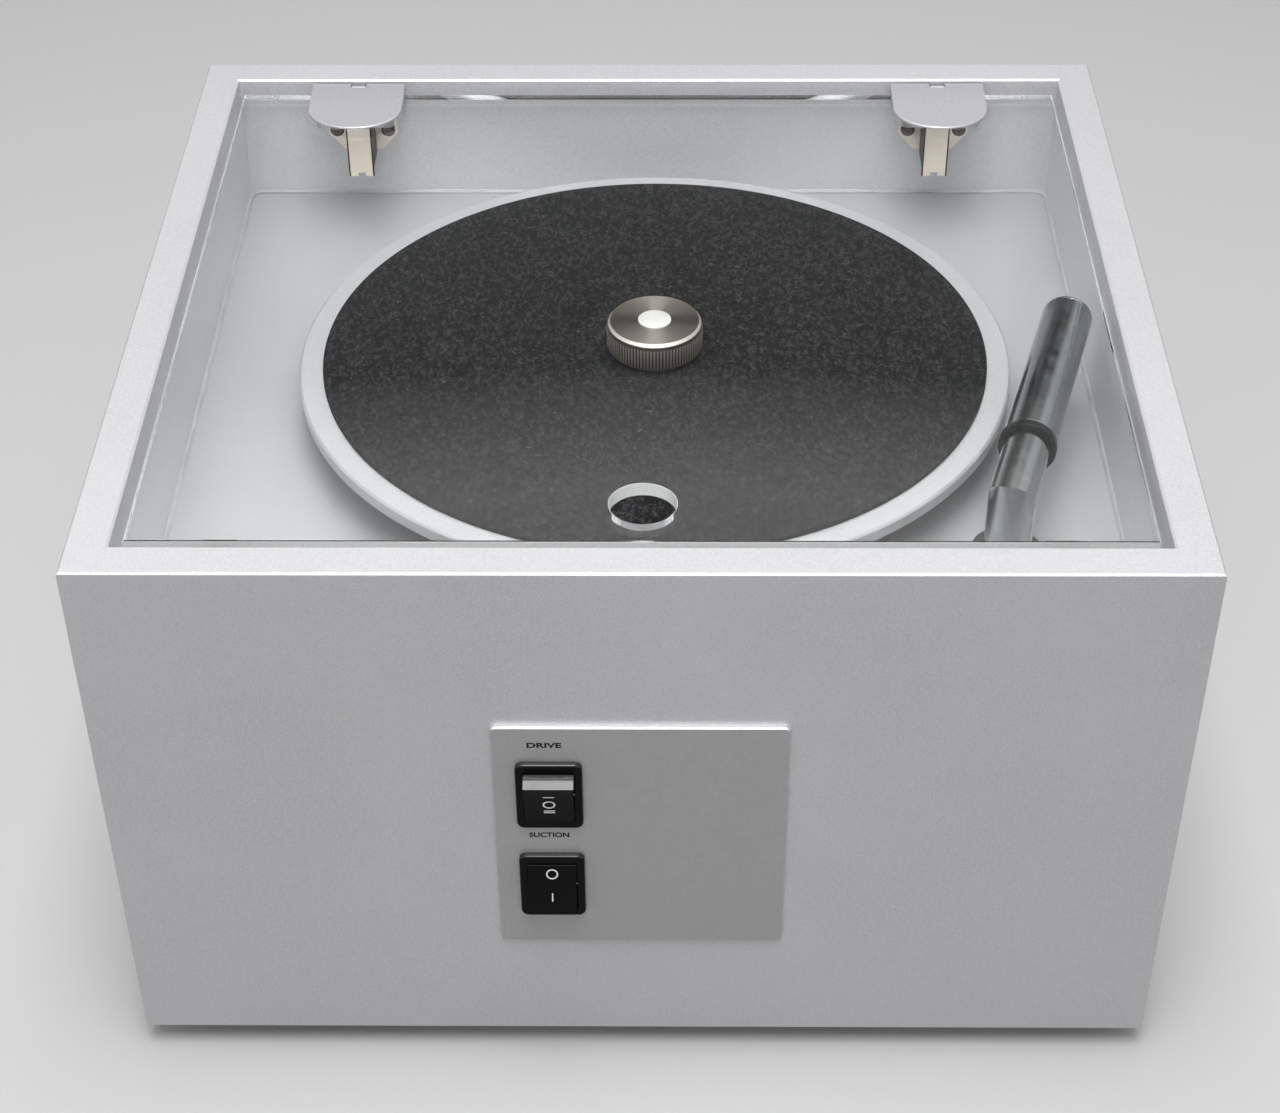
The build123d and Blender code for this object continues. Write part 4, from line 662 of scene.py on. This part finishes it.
class DressControls(bpy.types.Operator):
    """Build the control plate, its lettering and the two rocker switches"""

    bl_idname = "cleaner.dress_controls"
    bl_label = "Controls"

    # each word, the x and z of its middle, and its width
    words = (("DRIVE", -35.6 * MM, 166.9 * MM, 12.8 * MM), ("SUCTION", -35.0 * MM, 121.4 * MM, 15.2 * MM))
    letters_weight = 0.03
    letters_sunk = 0.02 * MM
    letters_deep = 0.07 * MM
    tilt = math.radians(14.0)
    face_reach = 4.9 * MM
    face_half = 10.95 * MM
    face_hollow = 0.5 * MM
    marks_sunk = 0.03 * MM
    marks_proud = 0.04 * MM

    def execute(self, context):
        smooth_copy("control_plate", "plate", sharp=20.0)
        smooth_copy("switch_bodies", "gloss", sharp=30.0)
        smooth_copy("motor_rocker", "gloss", "motor_rocker", sharp=30.0)
        smooth_copy("vacuum_rocker", "gloss", "vacuum_rocker", sharp=30.0)
        dress_node("switch_terminals", "brass")
        self.letter_plate(context.scene.cleaner_switches)
        self.mark_rocker("motor_rocker", self.tilt, (("bar", 5.2), ("ring", 0.0), ("twin", -4.6)))
        self.mark_rocker("vacuum_rocker", -self.tilt, (("wide_ring", 7.0), ("post", -3.4)))
        return {"FINISHED"}

    def letter_plate(self, settings):
        """Words in plain capitals, made a mesh, stretched wide and set on the plate's face."""
        face = node_box("control_plate")[0][1]
        for word, centre_x, centre_z, width in self.words:
            name = "word_" + word.lower()
            curve = bpy.data.curves.new(name, "FONT")
            curve.body = word
            curve.align_x = "CENTER"
            curve.extrude = 0.02  # any depth: letters_deep takes its place
            curve.offset = self.letters_weight
            drawn = show("drawn", curve)
            bpy.context.view_layer.update()
            mesh = bpy.data.meshes.new_from_object(drawn)
            bpy.data.objects.remove(drawn)
            points = np.empty(len(mesh.vertices) * 3)
            mesh.vertices.foreach_get("co", points)
            points = points.reshape(-1, 3)
            low, high = points.min(axis=0), points.max(axis=0)
            across, up, deep = ((points - low) / (high - low)).T
            placed = [
                centre_x + (across - 0.5) * width,
                face + self.letters_sunk - self.letters_deep * deep,
                centre_z + (up - 0.5) * settings.letter_height,
            ]
            mesh.vertices.foreach_set("co", np.stack(placed, axis=-1).reshape(-1))
            mesh.update()
            dress(show(name, mesh), "letter", "cabinet")

    def mark_rocker(self, node, tilt, marks):
        """Closed marks, and rings open underneath, set in a rocker's face."""
        parts = []
        for shape, height in marks:
            for outer, inner in self.mark_outlines(shape, height):
                rings = [(outer, -self.marks_sunk), (outer, self.marks_proud)]
                if inner is not None:
                    rings += [(inner, self.marks_proud), (inner, -self.marks_sunk)]
                rings = [self.on_face(node, tilt, flat, lift) for flat, lift in rings]
                parts.append(stack("mark", rings, capped=inner is None))
        dress(join_meshes(node + "_marks", parts), "mark", node)

    def on_face(self, node, tilt, flat, lift):
        """Points laid on a tilted face, whose depth falls off as one less the square of the height."""
        x, y = flat.T * MM
        hollow = self.face_hollow * (1 - (y / self.face_half) ** 2)
        reach = self.face_reach - hollow + lift
        sine, cosine = math.sin(tilt), math.cos(tilt)
        offset = np.stack([x, -y * sine - reach * cosine, y * cosine - reach * sine], axis=-1)
        return JOINTS[node + "_tilt"]["pos_m"] + offset

    def mark_outlines(self, shape, height):
        """The outer and inner lines of a mark, in millimetres on the face."""
        angle = np.linspace(0, 2 * np.pi, 40, endpoint=False)
        circle = np.stack([np.cos(angle), np.sin(angle)], axis=-1)
        lift = np.array([0.0, height])
        rings = {"ring": (2.35, 1.8), "wide_ring": (2.3, 1.75)}
        if shape in rings:
            outer, inner = rings[shape]
            return [(circle * outer + lift, circle * inner + lift)]
        post, bar = rounded_rectangle(0.5, 3.6, 0.1), rounded_rectangle(4.2, 0.5, 0.1)
        if shape == "twin":
            return [(bar + lift + (0, 0.55), None), (bar + lift - (0, 0.55), None)]
        return [((post if shape == "post" else bar) + lift, None)]


class DressLid(bpy.types.Operator):
    """Finish the glass, the hinge caps and the hinges"""

    bl_idname = "cleaner.dress_lid"
    bl_label = "Lid"

    ground_inset = 0.25 * MM
    hole_radius = 12.75 * MM
    hole_x = 0.5 * MM
    hole_from_edge = 22.8 * MM

    def execute(self, context):
        smooth_copies("lid", lid_glass="glass", hinge_caps="caps", hinge_clamps="zinc", lid_bolts="zinc")
        smooth_copies("cabinet", hinge_pins="steel")
        smooth_copies("cabinet", 25.0, hinge_arms="strip", hinge_wings="nickel")
        smooth_copies("cabinet", hinge_screws="screw")
        self.build_ground_edges()
        return {"FINISHED"}

    def build_ground_edges(self):
        """White skins a tenth of a millimetre thick, round the pane's rim and inside its finger hole."""
        low, high = node_box("lid_glass")
        middle = (low + high)[:2] / 2
        bottom, top = low[2] + self.ground_inset, high[2] - self.ground_inset
        rings = []
        for out, height in ((0.02, bottom), (0.12, bottom), (0.12, top), (0.02, top)):
            span = high - low + 2 * out * MM
            flat = rounded_rectangle(span[0], span[1], 0.4 * MM) + middle
            rings.append(np.column_stack([flat, np.full(len(flat), height)]))
        dress(make_piece("pane_rim", rings, ring_faces(4, len(rings[0]), True)), "ground", "lid")
        near, far = self.hole_radius - 0.25 * MM, self.hole_radius - 0.12 * MM
        wall = [(near, bottom), (far, bottom), (far, top), (near, top)]
        hole = lathe("hole_wall", wall, (self.hole_x, low[1] + self.hole_from_edge, 0.0), 128, True)
        dress(hole, "ground", "lid")


class DressPlatter(bpy.types.Operator):
    """Build the platter, the felt mat and the record clamp"""

    bl_idname = "cleaner.dress_platter"
    bl_label = "Platter and clamp"

    platter_bore = 6.1 * MM
    mat_bore = 3.65 * MM
    knob_bore = 3.6 * MM
    badge_radius = 6.75 * MM
    badge_lift = 0.4 * MM

    def execute(self, context):
        settings = context.scene.cleaner_platter
        centre = (PLATTER_CENTRE[0], PLATTER_CENTRE[1], 0.0)
        low, high = node_box("platter")
        radius = (high[0] - low[0]) / 2
        bevel = settings.rim_bevel
        rim = [
            (self.platter_bore, low[2]),
            (radius - bevel * 0.5, low[2]),
            (radius, low[2] + bevel * 0.5),
            (radius, high[2] - bevel),
            (radius - bevel, high[2]),
            (self.platter_bore, high[2]),
        ]
        platter = lathe("platter_disc", soften(rim, 0.15 * MM, 3, True), centre, 256, True, sharp=25.0)
        dress(platter, "platter", "platter", "platter")
        low, high = node_box("platter_mat")
        radius = (high[0] - low[0]) / 2
        mat = [(self.mat_bore, low[2]), (radius, low[2]), (radius, high[2]), (self.mat_bore, high[2])]
        disc = lathe("felt_mat", soften(mat, 0.5 * MM, 4, True), centre, 256, True)
        dress(disc, "felt", "platter", "platter_mat")
        smooth_copy("platter_shaft", "steel", "platter")
        self.build_knob(settings, centre)
        smooth_copy("clamp_pad", "rubber", "clamp_pad")
        return {"FINISHED"}

    def build_knob(self, settings, centre):
        """Where knurled, the radius loses knurl_depth x (1 - abs(sin(knurls x angle / 2)) ** 1.2)."""
        low, high = node_box("clamp_knob")
        radius = (high[0] - low[0]) / 2
        bevel = 1.6 * MM
        top = high[2] - self.badge_lift
        roof = top - 3.0 * MM
        badge = self.badge_radius
        profile = [
            (0.0, roof),
            (self.knob_bore, roof),
            (self.knob_bore, low[2]),
            (radius - 0.8 * MM, low[2]),
            (radius - 0.3 * MM, low[2] + 0.5 * MM),
            (radius - 0.3 * MM, low[2] + 0.8 * MM),
            (radius, low[2] + 1.1 * MM),
            (radius, top - 2.9 * MM),
            (radius - 0.35 * MM, top - 2.5 * MM),
            (radius - 0.35 * MM, top - bevel),
            (radius - bevel, top),
            (badge + 0.3 * MM, top),
            (badge, top),
            (0.0, top),
        ]
        knurled = np.zeros((len(profile), 1))
        knurled[6:8] = 1.0  # the foot and the head of the knurled wall
        sides = settings.knurls * 6
        angle = np.linspace(0, 2 * np.pi, sides, endpoint=False)
        groove = 1 - np.abs(np.sin(angle * settings.knurls / 2)) ** 1.2
        shrink = knurled * settings.knurl_depth * groove
        knob = lathe("knob", profile, centre, sides, sharp=28.0, shrink=shrink)
        dress(knob, "knob", "clamp_knob", "clamp_knob")
        disc = [(0, top - 0.1 * MM), (badge, top - 0.1 * MM), (badge, high[2]), (0, high[2])]
        centre_disc = lathe("knob_centre", soften(disc, 0.12 * MM, 3), centre, 96)
        dress(centre_disc, "badge", "clamp_knob")


class DressArm(bpy.types.Operator):
    """Build the suction arm and its bush"""

    bl_idname = "cleaner.dress_arm"
    bl_label = "Suction arm"

    pipe_radius = 9.0 * MM
    pipe_wall = 1.5 * MM
    pipe_reach = 60.0 * MM
    nozzle_radius = 10.3 * MM
    nozzle_bore = 9.1 * MM
    nozzle_start = 33.3 * MM
    nozzle_end = 125.3 * MM
    cap_depth = 1.4 * MM
    plug_depth = 4.0 * MM
    collar_bore = 9.05 * MM
    collar_radius = 11.2 * MM
    collar_depth = 3.6 * MM
    slot_half = 1.5 * MM
    slot_run = (43.5 * MM, 114.5 * MM)
    velvet_run = (38.0 * MM, 119.0 * MM)
    velvet_degrees = (10, 62)
    velvet_deep = 0.86 * MM
    spring_drop = 1.8 * MM

    def execute(self, context):
        settings = context.scene.cleaner_arm
        self.build_tube()
        self.build_nozzle(settings)
        self.build_velvet(settings)
        smooth_copy("arm_bush", "matt")
        smooth_copy("stop_ring", "steel", "arm_slide")
        spring = smooth_copy("arm_spring", "steel", sharp=60.0, slot="zinc_steel")
        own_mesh(spring)
        return {"FINISHED"}

    def build_tube(self):
        """A circle carried up the pivot and along the arm, its middle ring cut square across the mitre."""
        foot = ARM_ELBOW * (1, 1, 0) + (0, 0, node_box("arm_tube")[0][2])
        angle = np.linspace(0, 2 * np.pi, 96, endpoint=False)[:, None]
        side, up, ahead = ARM_AXES
        rings = []
        for radius in (self.pipe_radius, self.pipe_radius - self.pipe_wall):
            across, rise = radius * np.cos(angle) * side, radius * np.sin(angle)
            mitre = across - rise * ahead
            end = self.pipe_reach * ahead + across + rise * up
            rings.append([foot + mitre, ARM_ELBOW + mitre + rise * up, ARM_ELBOW + end])
        points = np.array(rings[0] + rings[1][::-1])
        tube = make_piece("arm_pipe", points, ring_faces(6, len(angle), True), sharp=30.0)
        dress(tube, "chrome", "suction_arm", "arm_tube")

    def build_nozzle(self, settings):
        """A circle carried along the arm, its ends rounded, opened below by a slot with round ends.

        The slot's half angle is its half width over the radius, times the root of one less the squared
        distance past the slot's straight run.
        """
        radius, bore = self.nozzle_radius, self.nozzle_bore
        start, seat = self.nozzle_start, self.nozzle_end - self.cap_depth
        turn = np.linspace(0, np.pi / 2, 5)
        rounding = settings.end_round
        run = np.linspace(start + rounding, seat, 80)[1:]
        station = np.concatenate([start + rounding * (1 - np.cos(turn)), run])
        outer = np.concatenate([radius - rounding * (1 - np.sin(turn)), np.full(len(run), radius)])
        low, high = self.slot_run
        past = np.maximum(np.maximum(low - station, station - high), 0.0) / self.slot_half
        half = np.maximum(self.slot_half * np.sqrt(np.clip(1 - past**2, 0, 1)), 0.01 * MM) / radius
        part = np.linspace(0, 1, 97)
        angle = -np.pi / 2 + half[:, None] + (2 * np.pi - 2 * half[:, None]) * part[None, :]
        outside = self.around(station, outer[:, None], angle)
        inside = self.around(station, bore, angle[:, ::-1])
        loops = np.concatenate([outside, inside], axis=1)
        faces = ring_faces(len(station), loops.shape[1])
        column = np.arange(len(part) - 1)
        width = loops.shape[1]
        end = np.stack([column, column + 1, width - 2 - column, width - 1 - column], axis=-1)
        ends = [end, end + (len(station) - 1) * width]
        tube = make_piece("nozzle", loops, np.concatenate([faces] + ends), sharp=40.0)
        dress(tube, "chrome", "suction_arm", "nozzle_tube")
        plug, plug_radius = seat - self.plug_depth, bore - 0.1 * MM
        end = self.nozzle_end
        cap = [(0, plug), (plug_radius, plug), (plug_radius, seat), (radius, seat), (radius, end), (0, end)]
        end_cap = lathe("nozzle_end", soften(cap, 0.35 * MM, 4), ARM_ELBOW, 96, axes=ARM_AXES)
        dress(end_cap, "chrome", "suction_arm", "nozzle_cap")
        near, far, back = self.collar_bore, self.collar_radius, start - self.collar_depth
        ring = [(near, start), (near, back), (far, back), (far, start)]
        collar = lathe("collar", soften(ring, 0.5 * MM, 4, True), ARM_ELBOW, 96, True, ARM_AXES)
        dress(collar, "collar", "suction_arm", "nozzle_collar")

    def around(self, station, radius, angle):
        """Points at a radius and angle round the arm: sideways by the cosine, up by the sine."""
        side, up, ahead = ARM_AXES
        across = (radius * np.cos(angle))[..., None] * side
        rise = (radius * np.sin(angle))[..., None] * up
        return ARM_ELBOW + station[:, None, None] * ahead + across + rise

    def build_velvet(self, settings):
        """Two strips wrapped under the nozzle, each a shell whose outer radius wavers with the pile."""
        count, steps = 240, 26
        station = np.linspace(*self.velvet_run, count)
        seeded = np.random.default_rng(7)
        parts = []
        for side in (-1, 1):
            angle = np.radians(-90 + side * np.linspace(*self.velvet_degrees, steps))
            edge = np.minimum(np.linspace(0, 1, steps), np.linspace(1, 0, steps)) * 2
            dome = np.sqrt(np.clip(1 - (1 - np.minimum(edge * 4, 1)) ** 2, 0, 1))
            pile = seeded.random((count, steps)) * settings.pile
            outer = self.nozzle_radius + 0.02 * MM + (self.velvet_deep - pile) * dome
            outside = self.around(station, outer, angle)
            inside = self.around(station, self.nozzle_radius - 0.02 * MM, angle[None, ::-1])
            parts.append(stack("strip", np.concatenate([outside, inside], axis=1), sharp=70.0))
        strips = join_meshes("velvet_lips", parts)
        dress(strips, "velvet", "suction_arm", "velvet_strips")


class DressInside(bpy.types.Operator):
    """Finish the pieces inside the cabinet and at its back"""

    bl_idname = "cleaner.dress_inside"
    bl_label = "Inside and back"

    def execute(self, context):
        smooth_copies("cabinet", bearing_housing="pulley", bearing_bushes="bronze")
        smooth_copies("platter", drive_pulley="pulley")
        smooth_copies("motor_pulley", motor_pulley="pulley", motor_shaft="steel")
        smooth_copies("cabinet", drive_belt="rubber", drive_motor="can", waste_tank="tank", tank_lid="tank")
        smooth_copies("cabinet", drain_spout="matt")
        smooth_copies("drain_cap", drain_cap="rubber")
        smooth_copies("cabinet", mount_ring="rubber", vacuum_motor="can", fan_housing="matt")
        smooth_copies("fan", impeller="matt", fan_shaft="steel")
        smooth_copies("cabinet", vacuum_hose="hose", transformer="winding", mains_inlet="matt")
        smooth_copies("fuse_drawer", fuse_drawer="matt")
        smooth_copies("cabinet", cabinet_screws="zinc")
        dress_node("motor_plate", "zinc", 0.2 * MM)
        dress_node("service_plate", "zinc", 0.2 * MM)
        dress_node("inlet_pins", "steel", 0.2 * MM)
        return {"FINISHED"}


class BuildStage(bpy.types.Operator):
    """Set the floor, the lamps and the camera"""

    bl_idname = "cleaner.build_stage"
    bl_label = "Stage"

    camera_place = (0.00924, -0.85689, 0.77306)
    camera_yaw = math.radians(-0.732)
    camera_pitch = math.radians(41.12)
    camera_roll = math.radians(-0.374)
    camera_lens = 69.53
    camera_shift = (-0.00225, 0.1137)
    floor_half = 30.0
    room_glow = 0.42
    screen_direction = (0.0, 0.85, 0.527)
    screen_edge = (0.84, 0.94)
    screen_step = (0.55, 0.592)
    ceiling_edge = (0.5, 0.75)
    mirrored_wall = 0.75
    mirrored_ceiling = 2.0
    mirrored_screen = 0.05
    mirrored_screen_top = 0.71
    mirrored_floor = 0.2

    def execute(self, context):
        settings = context.scene.cleaner_stage
        self.build_floor(settings)
        self.build_world(context)
        self.lamp("overhead", settings.overhead, (1.8, 1.8), (0.0, -0.45, 1.95), (0.0, -0.1, 0.15))
        self.lamp("long", settings.bright, (0.55, 1.6), (0.0, -0.47, 1.85), (0.0, -0.47, 0.0))
        self.lamp("front", settings.fill, (1.6, 1.6), (-0.9, -2.0, 1.3), (0.0, 0.0, 0.12))
        self.place_camera(context)
        return {"FINISHED"}

    def build_floor(self, settings):
        """A matt pale floor, shown dimmer in mirrors."""
        half = self.floor_half
        corners = [(-half, -half, 0), (half, -half, 0), (half, half, 0), (-half, half, 0)]
        mesh = bpy.data.meshes.new("floor")
        mesh.from_pydata(corners, [], [(0, 1, 2, 3)])
        finish = Finish("pale_floor")
        level = settings.floor
        dim = level * self.mirrored_floor
        path = finish.add("ShaderNodeLightPath").outputs
        mirror = finish.math("SUBTRACT", path["Is Glossy Ray"], path["Is Transmission Ray"], True)
        finish.set(Base_Color=finish.blend(mirror, (level, level, level), (dim, dim, dim)))
        finish.set(Roughness=0.9, Specular_IOR_Level=0.1)
        mesh.materials.append(finish.material)
        show("floor", mesh)

    def build_world(self, context):
        """An even white room; in a mirror its ceiling is brighter and a screen behind the machine dark."""
        world = bpy.data.worlds.new("studio")
        context.scene.world = world
        world.use_nodes = True
        nodes = Nodes(world.node_tree)
        place = nodes.add("ShaderNodeTexCoord").outputs["Generated"]
        facing = {0: place, 1: self.screen_direction}
        towards = nodes.add("ShaderNodeVectorMath", facing, operation="DOT_PRODUCT").outputs["Value"]
        up = nodes.add("ShaderNodeSeparateXYZ", {"Vector": place}).outputs["Z"]
        room = nodes.spread(up, self.mirrored_wall, self.mirrored_ceiling, *self.ceiling_edge)
        screen = nodes.spread(up, self.mirrored_screen, self.mirrored_screen_top, *self.screen_step)
        mirrored = nodes.spread(towards, room, screen, *self.screen_edge)
        glossy = nodes.add("ShaderNodeLightPath").outputs["Is Glossy Ray"]
        background = nodes.tree.nodes["Background"].inputs
        background["Color"].default_value = (1.0, 1.0, 1.0, 1.0)
        nodes.link(nodes.spread(glossy, self.room_glow, mirrored, 0.0, 1.0), background["Strength"])
        context.scene.view_settings.view_transform = "Standard"

    def lamp(self, name, power, size, place, target):
        """A lamp as wide and as long as size, turned towards a target."""
        light = bpy.data.lights.new(name, "AREA")
        light.energy = power
        light.shape = "RECTANGLE"
        light.size, light.size_y = size
        lamp = show(name, light)
        lamp.location = place
        lamp.rotation_euler = (Vector(target) - Vector(place)).to_track_quat("-Z", "Y").to_euler()

    def place_camera(self, context):
        """The camera turned by its roll, then up from straight down by the pitch, then by the yaw."""
        lens = bpy.data.cameras.new("camera")
        lens.lens = self.camera_lens
        lens.sensor_width = 36.0
        lens.sensor_fit = "HORIZONTAL"
        lens.shift_x, lens.shift_y = self.camera_shift
        camera = show("camera", lens)
        turn = Matrix.Translation(self.camera_place)
        pitch = math.pi / 2 - self.camera_pitch
        for angle, axis in ((-self.camera_yaw, "Z"), (pitch, "X"), (self.camera_roll, "Z")):
            turn = turn @ Matrix.Rotation(angle, 4, axis)
        camera.matrix_world = turn
        context.scene.camera = camera


class RecordCleanerPanel(bpy.types.Panel):
    """The steps that dress the machine, in order"""

    bl_idname = "VIEW3D_PT_record_cleaner"
    bl_label = "Record cleaning machine"
    bl_space_type = "VIEW_3D"
    bl_region_type = "UI"
    bl_category = "Record cleaner"

    def draw(self, context):
        for group in GROUPS:
            settings = getattr(context.scene, group)
            box = self.layout.box()
            for name in settings.__annotations__:
                box.prop(settings, name)
        for operator in OPERATORS:
            self.layout.operator(operator.bl_idname)


GROUPS = {
    "cleaner_cabinet": RecordCleanerCabinet,
    "cleaner_platter": RecordCleanerPlatter,
    "cleaner_arm": RecordCleanerArm,
    "cleaner_switches": RecordCleanerSwitches,
    "cleaner_stage": RecordCleanerStage,
}
OPERATORS = (DressCabinet, DressControls, DressLid, DressPlatter, DressArm, DressInside, BuildStage)


def register():
    """Add the settings, the steps and the panel to Blender."""
    for group in GROUPS.values():
        bpy.utils.register_class(group)
    for operator in OPERATORS:
        bpy.utils.register_class(operator)
    bpy.utils.register_class(RecordCleanerPanel)
    for name, group in GROUPS.items():
        setattr(bpy.types.Scene, name, bpy.props.PointerProperty(type=group))


def unregister():
    """Take them out again, last first."""
    for name in GROUPS:
        delattr(bpy.types.Scene, name)
    bpy.utils.unregister_class(RecordCleanerPanel)
    for operator in reversed(OPERATORS):
        bpy.utils.unregister_class(operator)
    for group in reversed(tuple(GROUPS.values())):
        bpy.utils.unregister_class(group)


def main():
    """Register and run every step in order."""
    register()
    for operator in OPERATORS:
        getattr(bpy.ops.cleaner, operator.bl_idname.split(".")[1])()


if __name__ == "__main__":
    main()
